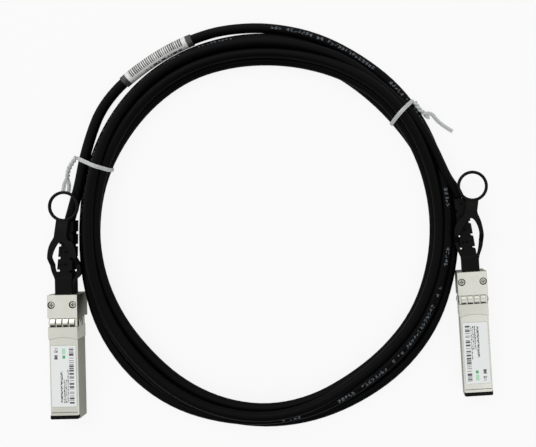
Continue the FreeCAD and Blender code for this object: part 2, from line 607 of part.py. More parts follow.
def return_springs(plug):
    """Two coil springs that push the slide back towards the nose."""
    wire, outside = size("spring_wire"), size("spring_diameter")
    radius, turns = (outside - wire) / 2, size("spring_turns")
    length = size("spring_length") - wire
    x = size("slide_width") / 2 - size("tine_width") / 2
    z = size("body_bottom") + size("slide_sheet") + size("slide_gap") + 0.55 * outside
    y = size("slide_front") + size("wedge_length") + size("slide_sheet") + wire / 2
    springs = []
    for side in (1, -1):
        helix = Part.makeHelix(length / turns, length, radius)
        section = Part.Wire(Part.makeCircle(wire / 2, Vector(radius, 0, 0), Vector(0, 1, 0)))
        coil = Part.Wire(helix.Edges).makePipeShell([section], True, True)
        coil.rotate(Vector(0, 0, 0), Vector(1, 0, 0), -90)
        coil.translate(Vector(side * x, y, z))
        springs.append(coil)
    return coded(f"return_springs_{plug}", Part.Compound(springs), plug)


def cover_screws(plug):
    """The two screws that hold the shells together."""
    top = size("block_height") - size("sink_depth")
    y, head = size("plug_length") - size("screw_setback"), size("screw_head_height")
    screws = []
    for x in (size("screw_offset"), -size("screw_offset")):
        tip = Vector(x, y, size("screw_depth"))
        shank = Part.makeCylinder(size("screw_shank") / 2, top - size("screw_depth"), tip)
        cap = Part.makeCylinder(size("screw_head") / 2, head, Vector(x, y, top))
        rim = [edge for edge in cap.Edges if edge.BoundBox.ZMin > top + head / 2 and edge.Closed]
        cap = cap.makeFillet(head / 3, rim)
        reach, bar = size("screw_head") * 0.3, size("screw_head") * 0.08
        cross = block(x - reach, x + reach, y - bar, y + bar, top + head / 2, top + head)
        cross = cross.fuse(block(x - bar, x + bar, y - reach, y + reach, top + head / 2, top + head))
        screws.append(shank.fuse(cap).cut(cross).removeSplitter())
    return coded(f"cover_screws_{plug}", Part.Compound(screws), plug)


def shell_label(plug):
    """Printed label on the cover."""
    label = new_body(f"shell_label_{plug}")
    pad(label, "XY_Plane", centred("label_width / 2", "label_front", "label_front + label_length"),
        BODY_TOP, BODY_TOP + " + label_thickness")
    return lay(label, plug)


# ---------------------------------------------------------------- cable end and boot
def turned(turn, x, along, z):
    """A point of the boot, which bends aside at its pivot behind the plug."""
    angle = math.radians(turn)
    pivot = size("plug_length") + size("boot_pivot")
    reach = along - size("boot_pivot")
    return Vector(x * math.cos(angle) - reach * math.sin(angle),
                  pivot + x * math.sin(angle) + reach * math.cos(angle), z)


def rounded_path(points):
    """Straight runs joined by tangent arcs, each as large as its two runs allow."""
    edges, radii, begin = [], [], points[0]
    for before, corner, after in zip(points, points[1:], points[2:]):
        back, ahead = before - corner, after - corner
        turn = math.pi - back.getAngle(ahead)
        cut = 0.45 * min(back.Length, ahead.Length)
        radii.append(cut / math.tan(turn / 2))
        enter = corner + back.normalize() * cut
        leave = corner + ahead.normalize() * cut
        inward = (enter + leave) * 0.5 - corner
        middle = corner + inward.normalize() * (radii[-1] / math.cos(turn / 2) - radii[-1])
        edges.append(Part.LineSegment(begin, enter).toShape())
        edges.append(Part.Arc(enter, middle, leave).toShape())
        begin = leave
    edges.append(Part.LineSegment(begin, points[-1]).toShape())
    return Part.Wire(edges), radii


def tube(path, diameter):
    """A round solid along a path."""
    start = path.Edges[0]
    section = Part.Wire(Part.makeCircle(diameter / 2, start.valueAt(start.FirstParameter),
                                        start.tangentAt(start.FirstParameter)))
    return path.makePipeShell([section], True, True)


def cable_route(plug, start, end):
    """The cable's axis in the plug, from a place in the shells to a place behind the plug."""
    z, turn = size("cable_height"), size(f"boot_turn_{plug}")
    near = Vector(0, start, z)
    middle = turned(turn, 0, size("boot_pivot"), z)
    return rounded_path([near, middle, turned(turn, 0, end, z)])[0]


def cable_tail(plug):
    """The end of the jacketed cable that the plug and its boot hold."""
    path = cable_route(plug, size("tail_start"), size("boot_length"))
    return coded(f"cable_tail_{plug}", tube(path, size("cable_diameter")), plug)


def cable_ferrule(plug):
    """Crimped sleeve on the cable's braid, between the two shells."""
    start = Vector(0, size("ferrule_start"), size("cable_height"))
    length = size("ferrule_length")
    sleeve = Part.makeCylinder(size("ferrule_diameter") / 2, length, start, Vector(0, 1, 0))
    return coded(f"cable_ferrule_{plug}", sleeve.cut(tube(cable_route(plug, size("tail_start"),
                 size("boot_length")), size("cable_diameter"))), plug)


def strain_boot(plug):
    """Moulded boot: a flange held by the shells, a square end and a ribbed, tapering stretch."""
    blank = new_body(f"boot_blank_{plug}")
    axis, turn = "cable_height", f"boot_turn_{plug}"
    neck = "channel_width / 2 - 2 * shell_gap"
    pad(blank, "XY_Plane", centred(neck, "flange_place", "plug_length"),
        f"{axis} - ({neck})", f"{axis} + {neck}")
    pad(blank, "XY_Plane", centred(neck, "flange_place", "flange_place + flange_length"),
        f"{axis} - flange_rise", f"{axis} + flange_rise")
    pad(blank, "XY_Plane", centred("boot_base_width / 2", "plug_length", "plug_length + boot_base_length"),
        f"{axis} - boot_base_height / 2", f"{axis} + boot_base_height / 2")
    start, end = "boot_base_length / 2 - boot_pivot", "boot_length - boot_pivot"
    tail = [("-boot_start_width / 2", start), ("boot_start_width / 2", start),
            ("boot_end_width / 2", end), ("-boot_end_width / 2", end)]
    pad(blank, "XY_Plane", tail, f"{axis} - boot_start_height / 2", f"{axis} + boot_start_height / 2", turn)
    behind, past = "boot_base_length - boot_pivot", f"{end} + notch_width"
    for side in ("+", "-"):
        high, low = f"{axis} {side} boot_start_height / 2", f"{axis} {side} boot_end_height / 2"
        clear = f"{axis} {side} boot_base_height"
        taper = [(behind, high), (end, low), (past, low), (past, clear), (behind, clear)]
        pocket(blank, "YZ_Plane", taper, "-boot_base_width", "boot_base_width", turn)
    for k in range(int(size("notch_count"))):
        place = f"(notch_first + {k} * notch_pitch - boot_pivot)"
        for side in ("", "-"):
            notch = rectangle(f"{side}notch_core / 2", f"{side}boot_base_width",
                              f"{place} - notch_width / 2", f"{place} + notch_width / 2")
            pocket(blank, "XY_Plane", notch, f"{axis} - boot_base_height", f"{axis} + boot_base_height", turn)
        middle = f"{place} + notch_pitch / 2"
        slot = centred("notch_core / 2", f"{middle} - notch_width / 2", f"{middle} + notch_width / 2")
        pocket(blank, "XY_Plane", slot, f"{axis} + notch_core / 2", f"{axis} + boot_base_height", turn)
        pocket(blank, "XY_Plane", slot, f"{axis} - boot_base_height", f"{axis} - notch_core / 2", turn)
    for side in ("", "-"):
        groove = rectangle(f"{side}(arm_inside - slide_gap)", f"{side}boot_base_width", "plug_length",
                           "plug_length + arm_level + slide_travel")
        pocket(blank, "XY_Plane", groove, "arm_bottom - slide_gap", "arm_bottom + arm_thickness + slide_gap")
        relief = rectangle(f"{side}arm_relief", f"{side}boot_base_width", "plug_length + arm_level",
                           "plug_length + neck_start")
        pocket(blank, "XY_Plane", relief, "arm_bottom - slide_gap", "cable_height + boot_base_height")
    lay(blank, plug)
    core = coded(f"boot_bore_{plug}", tube(cable_route(plug, size("tail_start"), size("boot_length") + 1),
                                           size("cable_diameter")), plug)
    boot = doc.addObject("Part::Cut", f"strain_boot_{plug}")
    boot.Label = f"strain_boot_{plug}"
    boot.Base, boot.Tool = blank, core
    return boot


# ---------------------------------------------------------------- pull tab
def tab_edge(side, stations):
    """Points of a tab's edge from stations of (distance behind the plug, half width, set)."""
    rear = size("plug_length")
    return [Vector(side * half + shift, rear + along, 0) for along, half, shift in stations]


def pull_tab(plug):
    """Black tab in one piece: two bowed arms that slide in the plug, a neck and a pull ring."""
    inside, width = size("arm_inside"), size("arm_width")
    bow, bow_width, bow_at = size("arm_bow"), size("bow_width"), size("bow_place")
    neck, join, straight = size("neck_width") / 2, size("neck_start"), size("neck_straight")
    bow_set, neck_set, ring_set = (size(f"{name}_shift_{plug}") for name in ("bow", "neck", "ring"))
    first = size("leg_place") - size("plug_length")
    ring_y, rear = size(f"ring_place_{plug}"), size("plug_length")
    bend, hollow, late = size("arm_straight"), bow - bow_width, (bow_set + neck_set) / 2
    ends, edges = {}, []
    apex = Vector(neck_set, rear + join, 0)
    for side, flares in ((1, f"_{plug}"), (-1, "")):
        place, flare = size(f"flare_place{flares}"), size(f"flare{flares}")
        thinner = width + (bow_width - width) * (flare - inside - width) / (bow - inside - width)
        outer = ((bend, inside + width, 0), (place, flare, bow_set), (bow_at, bow, bow_set),
                 ((bow_at + join) / 2, bow * 0.94, bow_set), (join, bow * 0.68, late), (straight, neck, neck_set))
        inner = ((bend, inside, 0), (place, flare - thinner, bow_set), (bow_at, hollow, bow_set),
                 ((bow_at + join) / 2, hollow * 0.72, late))
        out = tab_edge(side, outer)
        run = Part.BSplineCurve()
        run.interpolate(Points=out, InitialTangent=Vector(0, 1, 0), FinalTangent=Vector(0, 1, 0))
        edges.append(run.toShape())
        start = Vector(side * (inside + width), rear + first, 0)
        edges.append(Part.makeLine(start, out[0]))
        edges.append(Part.makeLine(start, Vector(side * inside, start.y, 0)))
        ends[side] = out[-1], tab_edge(side, inner)
        edges.append(Part.makeLine(Vector(side * inside, start.y, 0), ends[side][1][0]))
        last = Vector(side * neck + ring_set * 0.8 + neck_set * 0.2, rear + ring_y - 5.5, 0)
        edges.append(Part.makeLine(ends[side][0], last))
        ends[side] += (last,)
    edges.append(Part.makeLine(ends[1][2], ends[-1][2]))
    loop = Part.BSplineCurve()
    loop.interpolate(Points=ends[1][1] + [apex] + ends[-1][1][::-1],
                     InitialTangent=Vector(0, 1, 0), FinalTangent=Vector(0, -1, 0))
    edges.append(loop.toShape())
    plan = Part.Face(Part.Wire(Part.__sortEdges__(edges)))
    plan = plan.extrude(Vector(0, 0, 20))
    low, thick = size("arm_bottom"), size("arm_thickness")
    neck_low, neck_thick = size("neck_bottom"), size("neck_thickness")
    level, high = rear + size("arm_level"), rear + size("neck_level")
    far, near = rear + ring_y, rear + first - 1
    side_view = [Vector(-20, near, low), Vector(-20, level, low), Vector(-20, high, neck_low),
                 Vector(-20, far, neck_low), Vector(-20, far, neck_low + neck_thick),
                 Vector(-20, high - 0.5, neck_low + neck_thick), Vector(-20, level - 0.5, low + thick),
                 Vector(-20, near, low + thick)]
    band = Part.Face(Part.makePolygon(side_view + side_view[:1])).extrude(Vector(40, 0, 0))
    strip = plan.common(band)
    wire, radius = size("ring_wire"), (size("ring_diameter") - size("ring_wire")) / 2
    centre = Vector(ring_set, rear + ring_y, neck_low + neck_thick / 2)
    hole = Part.makeCylinder(radius - wire / 4, 20, Vector(centre.x, centre.y, 0))
    pieces = [Part.makeTorus(radius, wire / 2, centre)]
    for k in range(3):
        y = rear + ring_y - radius - 1.1 - k * 1.1
        x = neck_set * 0.4 + ring_set * 0.6
        pieces.append(block(x - neck * 0.7, x + neck * 0.7, y - 0.5, y,
                            neck_low + neck_thick / 2, neck_low + neck_thick + size("grip_rise")))
    reach = size("leg_spread") + size("slide_sheet") - 0.05
    foot = size("leg_place") + 0.3 * size("leg_length")
    for x0, x1 in ((inside + width / 2, reach), (-reach, -inside - width / 2)):
        pieces.append(block(x0, x1, foot, foot + 0.4 * size("leg_length"), low + 0.3 * thick, low + 0.8 * thick))
    return coded(f"pull_tab_{plug}", strip.cut(hole).multiFuse(pieces).removeSplitter(), plug)


# ---------------------------------------------------------------- coil, leads, cable label and ties
def ellipse(half_x, half_y, x, y, height):
    """A closed elliptical wire, level, at a height."""
    centre = Vector(x, y, height)
    major, minor = centre + Vector(0, half_y, 0), centre + Vector(half_x, 0, 0)
    if half_x > half_y:
        major, minor = minor, major
    return Part.Wire(Part.Ellipse(major, minor, centre).toShape())


def cable_coil():
    """Outer shape of the coiled turns: a ring whose outside leans in, lower where they lie flatter."""
    height, slope = size("coil_height"), size("coil_slope")
    x, y, half_x, half_y = size("coil_x"), size("coil_y"), size("coil_half_x"), size("coil_half_y")
    shoulder, lean = size("coil_shoulder"), size("coil_lean")
    knee = shoulder + size("coil_lean_height")
    wide = ellipse(half_x, half_y, x, y, shoulder)
    narrow = ellipse(half_x - lean, half_y - lean, x, y, knee)
    base = Part.Face(ellipse(half_x, half_y, x, y, 0)).extrude(Vector(0, 0, shoulder))
    cap = Part.Face(narrow).extrude(Vector(0, 0, height))
    ring = base.multiFuse([Part.makeLoft([wide, narrow], True), cap])
    hole = ellipse(size("hole_half_x"), size("hole_half_y"), size("hole_x"), size("hole_y"), 0)
    ring = ring.cut(Part.Face(hole).extrude(Vector(0, 0, height * 2)))
    lid = Part.makeBox(4 * half_x, 4 * half_y, 3 * height, Vector(-2 * half_x, -2 * half_y, 0))
    across = Vector(slope / half_x, slope / half_y, 1)
    lid.Placement = Placement(Vector(x, y, height), Rotation(Vector(0, 0, 1), across))
    return coded("cable_coil", ring.cut(lid).removeSplitter())


def cord_tube(label, points):
    """A stretch of free cable through points chosen by hand."""
    path, radii = rounded_path([Vector(*point) for point in points])
    diameter = size("cable_diameter")
    shape = tube(path, diameter)
    wanted = path.Length * math.pi * diameter ** 2 / 4
    print(label, "radii", [round(radius, 1) for radius in radii], "length", round(path.Length, 1),
          "volume against section times length", round(shape.Volume / wanted, 4))
    return coded(label, shape), path


def boot_mouth(plug, behind):
    """A point on the axis of the cable, measured from the plug along its boot."""
    spot = turned(size(f"boot_turn_{plug}"), 0, behind, size("cable_height"))
    return plug_placement(plug).multVec(spot)


def cable_label(path):
    """Film wrapped round the left lead: the stretch from its sixth to its ninth corner."""
    stretch = Part.Wire(path.Edges[11:16])
    diameter = size("cable_diameter")
    sleeve = tube(stretch, diameter + 2 * size("wrap_thickness")).cut(tube(path, diameter))
    return coded("cable_label", sleeve)


def tie(side, ends):
    """Twist tie: a flat band round the bundle and its ends, which lie loose."""
    span, height, width = size(f"tie_span_{side}"), size(f"tie_height_{side}"), size("tie_width")
    thick, rounding = size("tie_thickness"), size("tie_round")
    outer = block(-span / 2, span / 2, -width / 2, width / 2, 0, height)
    inner = block(thick - span / 2, span / 2 - thick, -width, width, thick / 2, height - thick)
    loops = []
    for shape, radius in ((outer, rounding), (inner, rounding - thick)):
        loops.append(shape.makeFillet(radius, [edge for edge in shape.Edges if edge.BoundBox.YLength > width / 2]))
    band = loops[0].cut(loops[1])
    band.rotate(Vector(0, 0, 0), Vector(0, 0, 1), size(f"tie_turn_{side}"))
    band.translate(Vector(size(f"tie_x_{side}"), size(f"tie_y_{side}"), 0))
    twists = []
    for points in ends:
        path = rounded_path([Vector(*point) for point in points])[0]
        twists.append(tube(path, size("twist_diameter")))
    return coded(f"tie_{side}", band.multiFuse(twists).removeSplitter())


# ---------------------------------------------------------------- the whole part
PLUG_PIECES = (lower_shell, upper_shell, nose_insert, emi_collar, circuit_board, edge_contacts, memory_chip,
               twinax_pairs, shell_label, strain_boot, cable_ferrule, cable_tail, cover_screws, pull_tab,
               release_slide, return_springs)
pieces = [make(plug) for plug in ("a", "b") for make in PLUG_PIECES]

ROUTE_LEFT = ((-97.3, 43.6, 6.1), (-94.9, 53.0, 5.2), (-92.6, 64.0, 4.0), (-89.0, 76.0, 2.9),
              (-82.9, 87.6, 2.7), (-74.6, 99.0, 2.85), (-64.0, 109.6, 2.85), (-51.4, 118.9, 2.85),
              (-37.6, 125.7, 2.7), (-23.4, 129.2, 2.5), (-9.0, 129.3, 2.5))
ROUTE_RIGHT = ((89.3, 54.2, 6.1), (86.4, 63.4, 6.4), (81.7, 71.9, 6.8), (75.6, 80.0, 6.9), (68.4, 87.2, 6.7))
lead_a, path_a = cord_tube("lead_a", (tuple(boot_mouth("a", size("boot_length"))),) + ROUTE_LEFT)
lead_b, path_b = cord_tube("lead_b", (tuple(boot_mouth("b", size("boot_length"))),) + ROUTE_RIGHT)
pieces += [lead_a, lead_b, cable_coil(), cable_label(path_a)]
pieces.append(tie("left", (((-93.2, 65.0, 5.0), (-98.4, 60.6, 4.2), (-101.8, 54.6, 2.6), (-103.9, 47.9, 1.4),
                            (-105.2, 41.4, 0.9)),
                           ((-98.4, 60.6, 4.2), (-100.6, 55.9, 2.8), (-101.0, 50.2, 1.0)))))
pieces.append(tie("right", (((67.0, 92.2, 8.6), (70.4, 89.6, 8.4), (74.2, 88.4, 6.6), (78.2, 86.9, 3.4),
                             (87.4, 79.4, 0.9)),
                            ((70.4, 89.6, 8.4), (74.6, 90.6, 4.6), (79.2, 89.8, 1.0)))))
doc.recompute()

broken = [thing.Label for thing in doc.Objects if "Invalid" in thing.State or "Error" in thing.State]
if broken:
    raise RuntimeError(f"objects in error: {broken}")
os.makedirs("parts", exist_ok=True)
for piece in pieces:
    shape = piece.Shape
    if shape.isNull() or not shape.isValid() or not shape.Solids:
        raise RuntimeError(f"{piece.Label} has no valid solid")
    shape.exportStep(f"parts/{piece.Label}.step")
print(len(pieces), "pieces written")
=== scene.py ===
# %% [markdown]
# # A coiled direct attach cable
#
# The object is a black twinax cable, about three metres long, wound into a flat coil. Each end carries
# a small metal plug with a ribbed boot and a pull tab. Most hard pieces come ready made from the CAD
# frame, in metres and in place. This notebook gives them their finishes and makes what bends: the
# cable, its label and the two ties.

import json
import math

import bmesh
import bpy
from mathutils import Matrix, Vector
from mathutils.geometry import convex_hull_2d


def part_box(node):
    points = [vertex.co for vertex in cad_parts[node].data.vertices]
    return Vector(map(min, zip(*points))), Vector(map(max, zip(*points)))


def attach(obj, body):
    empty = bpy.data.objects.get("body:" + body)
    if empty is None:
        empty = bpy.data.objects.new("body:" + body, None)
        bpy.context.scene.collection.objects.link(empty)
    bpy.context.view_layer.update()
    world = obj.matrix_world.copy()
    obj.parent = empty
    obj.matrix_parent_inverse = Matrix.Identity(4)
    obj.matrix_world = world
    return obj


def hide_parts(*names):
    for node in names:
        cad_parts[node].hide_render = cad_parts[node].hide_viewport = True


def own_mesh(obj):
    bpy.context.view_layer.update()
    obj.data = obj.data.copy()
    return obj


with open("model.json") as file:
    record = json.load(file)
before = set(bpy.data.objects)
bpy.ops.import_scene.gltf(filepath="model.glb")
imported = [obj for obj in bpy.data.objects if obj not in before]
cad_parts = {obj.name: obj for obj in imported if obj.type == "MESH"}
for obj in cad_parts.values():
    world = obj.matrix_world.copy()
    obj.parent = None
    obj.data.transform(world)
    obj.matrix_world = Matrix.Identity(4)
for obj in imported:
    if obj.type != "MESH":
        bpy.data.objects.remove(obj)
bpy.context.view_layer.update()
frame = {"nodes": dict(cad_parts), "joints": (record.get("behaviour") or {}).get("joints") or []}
nodes = frame["nodes"]
MM = 0.001

# %% [markdown]
# Two small helpers serve the whole notebook. Colours are written as they look on screen, in hex, and
# turned to the linear values that the renderer adds up. A node helper places one shader node with its
# settings and its links, and a second one does sums with such nodes.

# %% Colour and node helpers


def colour(hex_text):
    """A linear colour from an sRGB hex value."""
    parts = [int(hex_text[i : i + 2], 16) / 255 for i in (1, 3, 5)]
    return [c / 12.92 if c <= 0.04045 else ((c + 0.055) / 1.055) ** 2.4 for c in parts] + [1.0]


def node(tree, kind, settings=None, **links):
    """One shader node: settings are attributes, and links are values or other nodes' outputs."""
    made = tree.nodes.new(kind)
    for name, value in (settings or {}).items():
        setattr(made, name, value)
    for name, value in links.items():
        key = int(name[1:]) if name[0] == "i" and name[1:].isdigit() else name.replace("_", " ")
        if isinstance(value, bpy.types.NodeSocket):
            tree.links.new(value, made.inputs[key])
        else:
            made.inputs[key].default_value = value
    return made


def calc(tree, operation, *values):
    """The result of a sum, a product or a comparison of sockets and numbers."""
    links = {f"i{k}": value for k, value in enumerate(values)}
    return node(tree, "ShaderNodeMath", {"operation": operation}, **links).outputs[0]


# %% [markdown]
# ## Camera
#
# The cable lies on a table and the camera hangs straight above it, about a third of a metre up. A lens
# shift frames the coil off centre without tilting the camera, so upright walls stay upright and only
# perspective shows them.

# %% Camera over the coil
CAMERA_HEIGHT = 0.335
CAMERA_SPOT = (0.05375, 0.0507, CAMERA_HEIGHT)
SENSOR_WIDTH = 36
FOCAL_RATIO = 1.2687  # focal length over the sensor's width
LENS_SHIFT = (-0.2146, -0.0644)

camera_data = bpy.data.cameras.new("overhead")
camera_data.sensor_width = SENSOR_WIDTH
camera_data.lens = FOCAL_RATIO * SENSOR_WIDTH
camera_data.shift_x, camera_data.shift_y = LENS_SHIFT
camera_data.clip_start = 0.01
camera = bpy.data.objects.new("overhead", camera_data)
camera.location = CAMERA_SPOT
bpy.context.scene.collection.objects.link(camera)
bpy.context.scene.camera = camera
bpy.context.scene.view_settings.view_transform = "Standard"
print("camera", CAMERA_SPOT, "lens", round(camera_data.lens, 2))

# %% [markdown]
# ## The cable
#
# A twinax cable is springy: its turns lie beside and on each other, a diameter apart, in a ring that
# the two ties hold. One smooth spline draws all of it. It leaves the left boot, climbs round the
# outside under its label, winds five turns clockwise and leaves at the upper right for the other boot.
#
# The turns are worked out by a loop. Every eighth of a turn, each pass of the coil has a place in the
# stack, counted in diameters from the outer edge, and a layer. Between those stations the places blend,
# so strands climb, drop and change sides as they do where nothing holds them. A second list lets the
# whole ring bulge a little here and there.

# %% Route of the cable
DIAMETER = 0.0049
RING_CENTRE = (-0.0024, 0.0331)
RING_HALF = (0.0930, 0.0983)
LEFT_LEAD = (
    (-0.09771, 0.03560, 0.0061),
    (-0.0955, 0.0436, 0.0061),
    (-0.0931, 0.0532, 0.0056),
    (-0.0914, 0.0644, 0.0050),
    (-0.0886, 0.0765, 0.0038),
    (-0.0844, 0.0887, 0.0030),
    (-0.0757, 0.1001, 0.0031),
    (-0.0642, 0.1097, 0.0031),
    (-0.0512, 0.1182, 0.0031),
    (-0.0374, 0.1246, 0.0028),
    (-0.0232, 0.1287, 0.0025),
)
RIGHT_LEAD = (
    (0.0665, 0.0885, 0.0072),
    (0.0727, 0.0794, 0.0071),
    (0.0779, 0.0706, 0.0068),
    (0.0816, 0.0626, 0.0064),
    (0.0848, 0.0558, 0.0062),
    (0.0892, 0.0500, 0.0061),
    (0.09070, 0.04628, 0.0061),
)
# (diameters in from the outer edge, layer), every eighth of a turn clockwise from the top, pass by pass
STATIONS = (
    ((0.5, 0), (0.5, 0), (1.15, 1), (1.4, 1), (1.0, 1), (-0.1, 0), (0.5, 0), (0.65, 0)),
    ((1.45, 0), (1.45, 0), (0.5, 0), (0.2, 0), (0.5, 0), (1.1, 0.8), (1.1, 1), (1.65, 0)),
    ((2.6, 0), (2.75, 0), (1.5, 0), (1.6, 0), (1.6, 0), (1.8, 0), (1.5, 0), (2.65, 0)),
    ((3.7, 0), (2.3, 1), (2.4, 0), (2.45, 0), (2.05, 1), (2.6, 0.9), (1.85, 1.05), (2.2, 1)),
    ((3.1, 1), (1.7, 2), (2.0, 1), (2.3, 1), (1.5, 2), (1.8, 1.8), (1.5, 2), (1.1, 1)),
    ((2.0, 1), (1.0, 1)),
)
# how far the ring bulges outwards, in millimetres, every twelfth of a turn clockwise from the top
BULGES = (0, -2.6, -1.6, 0.1, 1.1, -0.8, 0.15, 1.5, 1.2, -1.1, -0.2, -0.5)
PLACES_PER_PASS = len(STATIONS[0])
BED_HEIGHT = DIAMETER * 0.51  # middle of the lowest strands, a hair above the table
LAYER_RISE = DIAMETER * math.sqrt(3) / 2
STEPS_PER_TURN = 24
OUTSET = 1 / math.cos(math.pi / STEPS_PER_TURN)  # the spline runs inside its points by this share


def blend(here, ahead, share):
    """A smooth step from one value to the next."""
    return here + (ahead - here) * share * share * (3 - 2 * share)


def coil_point(turns):
    """A point of the coil, so many turns clockwise from the top of the ring."""
    whole = int(turns * PLACES_PER_PASS)
    pair = (divmod(whole + k, PLACES_PER_PASS) for k in (0, 1))
    here, ahead = (STATIONS[pass_number][place] for pass_number, place in pair)
    share = turns * PLACES_PER_PASS - whole
    inset, layer = (blend(here[k], ahead[k], share) for k in (0, 1))
    count = len(BULGES)
    whole = int(turns * count)
    bulge = blend(BULGES[whole % count], BULGES[(whole + 1) % count], turns * count - whole) * MM
    angle = turns * math.tau
    return (
        RING_CENTRE[0] + (RING_HALF[0] + bulge - inset * DIAMETER) * OUTSET * math.sin(angle),
        RING_CENTRE[1] + (RING_HALF[1] + bulge - inset * DIAMETER) * OUTSET * math.cos(angle),
        BED_HEIGHT + layer * LAYER_RISE,
    )


TURNS = 5.10
coil = [coil_point(k / STEPS_PER_TURN) for k in range(int(TURNS * STEPS_PER_TURN) + 1)]
route = [*LEFT_LEAD, *coil, *RIGHT_LEAD]
print("route points", len(route))

# %% [markdown]
# The tube is the spline with a round bevel, turned into a mesh once so that it can carry three
# attributes: the length along the cable, and how far up and how far sideways each point of the jacket
# faces. Print on the jacket follows those, whichever way the cable runs.

# %% Tubes that know where they are


def spline(name, points, resolution=5):
    """An open quadratic NURBS spline through the air, with its ends at its first and last points."""
    data = bpy.data.curves.new(name, "CURVE")
    data.dimensions = "3D"
    data.resolution_u = resolution
    line = data.splines.new("NURBS")
    line.points.add(len(points) - 1)
    for point, place in zip(line.points, points):
        point.co = (*place, 1.0)
    line.order_u = 3
    line.use_endpoint_u = True
    return bpy.data.objects.new(name, data)


def centre_line(curve):
    """The points that a spline with no bevel runs through, and their distances along it."""
    line = bpy.data.meshes.new_from_object(curve)
    places = [vertex.co.copy() for vertex in line.vertices]
    lengths = [0.0]
    for before, after in zip(places, places[1:]):
        lengths.append(lengths[-1] + (after - before).length)
    return places, lengths


def from_curve(name, data):
    """The mesh of a curve, which is then thrown away."""
    bent = bpy.data.objects.new(name + "_bent", data)
    mesh = bpy.data.meshes.new_from_object(bent)
    bpy.data.objects.remove(bent)
    return mesh


def tube(name, places, radius):
    """A closed round tube through places, with along, up and outward attributes on its points."""
    data = bpy.data.curves.new(name, "CURVE")
    data.dimensions = "3D"
    data.twist_mode = "Z_UP"
    data.bevel_depth = radius
    data.bevel_resolution = 4
    line = data.splines.new("POLY")
    line.points.add(len(places) - 1)
    for point, place in zip(line.points, places):
        point.co = (*place, 1.0)
    made = mesh_piece(name, from_curve(name, data))
    sides = len(made.data.vertices) // len(places)
    marks = [made.data.attributes.new(mark, "FLOAT", "POINT") for mark in ("along", "up", "outward")]
    travelled = 0.0
    for k, place in enumerate(places):
        ahead = places[min(k + 1, len(places) - 1)] - places[max(k - 1, 0)]
        left = Vector((0, 0, 1)).cross(ahead).normalized()
        travelled += (place - places[k - 1]).length if k else 0.0
        for i in range(k * sides, (k + 1) * sides):
            offset = (made.data.vertices[i].co - place) / radius
            for mark, value in zip(marks, (travelled, offset.z, offset.dot(left))):
                mark.data[i].value = value
    shape = bmesh.new()
    shape.from_mesh(made.data)
    bmesh.ops.holes_fill(shape, edges=[edge for edge in shape.edges if edge.is_boundary], sides=0)
    bmesh.ops.recalc_face_normals(shape, faces=shape.faces)
    shape.to_mesh(made.data)
    shape.free()
    return made


def mesh_piece(name, data):
    """An object at the origin for a finished mesh, shaded smooth."""
    data.name = name
    for face in data.polygons:
        face.use_smooth = True
    made = bpy.data.objects.new(name, data)
    bpy.context.scene.collection.objects.link(made)
    return made


places, lengths = centre_line(spline("cable_route", route))
cable = tube("cable", places, DIAMETER / 2)
print("cable", round(lengths[-1], 3), "m,", len(cable.data.polygons), "faces")

# %% [markdown]
# The drawn cable stands for three pieces of the frame: the coil and its two free ends. It rides on the
# same body as both plugs.

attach(cable, "cable")
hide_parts("cable_coil", "lead_a", "lead_b")
print("the cable rides on the body cable")

# %% [markdown]
# ## The film label
#
# A flag of white film is wrapped round the left lead, with clear tails that stick to the jacket. It
# follows the same points as the cable, half a millimetre outside it.

# %% Film label on the left lead
LABEL_ENDS = (Vector((-0.0722, 0.1018, 0.0028)), Vector((-0.0392, 0.1250, 0.0028)))
CLEAR_TAIL = 2.8 * MM
FILM_GAP = 0.55 * MM  # from the jacket to the outside of the film
LABEL_SEARCH = 0.18  # the label lies within this length of the cable's start


def nearest(spot):
    """The number of the route's place nearest to a spot, on the first stretch of the cable."""
    early = [k for k, length in enumerate(lengths) if length < LABEL_SEARCH]
    return min(early, key=lambda k: (places[k] - spot).length)


first, last = (nearest(spot) for spot in LABEL_ENDS)
label_stretch = places[first : last + 1]
film = tube("cable_film", label_stretch, DIAMETER / 2 + FILM_GAP)
film_length = lengths[last] - lengths[first]
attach(film, "cable")
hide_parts("cable_label")
print("film label", round(film_length / MM, 1), "mm long")

# %% [markdown]
# ## The ties
#
# Each tie is a flat plastic strip with a wire in its middle, bent round the bundle and twisted shut. It
# bears on the outermost strands, so its path is the hull of the strands that it crosses, a strip's
# thickness out.

# %% Ties round the bundle
TIE_WIDTH = 1.9 * MM
TIE_FILM = 0.4 * MM
TIE_WIRE = 0.45 * MM  # radius of the plastic over the wire
TWIST_PITCH = 4.2 * MM
TWIST_OFFSET = 0.55 * MM  # from the middle of the twist to the middle of each strand
TWIST_RADIUS = 0.6 * MM
TABLE_GAP = 0.05 * MM
BUNDLE_REACH = 0.03  # strands farther than this from a tie are not its own
HULL_DOTS = 24  # points round each strand
UP = Vector((0, 0, 1))


def crossings(spot, across):
    """Where strands of the cable cross the upright plane through a spot: places along and above it."""
    along = Vector((-across.y, across.x, 0))
    found = []
    for before, after in zip(places, places[1:]):
        here, ahead = (before - spot).dot(along), (after - spot).dot(along)
        if here * ahead < 0 and (before - spot).length < BUNDLE_REACH:
            place = before.lerp(after, here / (here - ahead)) - spot
            found.append((place.dot(across), place.z))
    return found


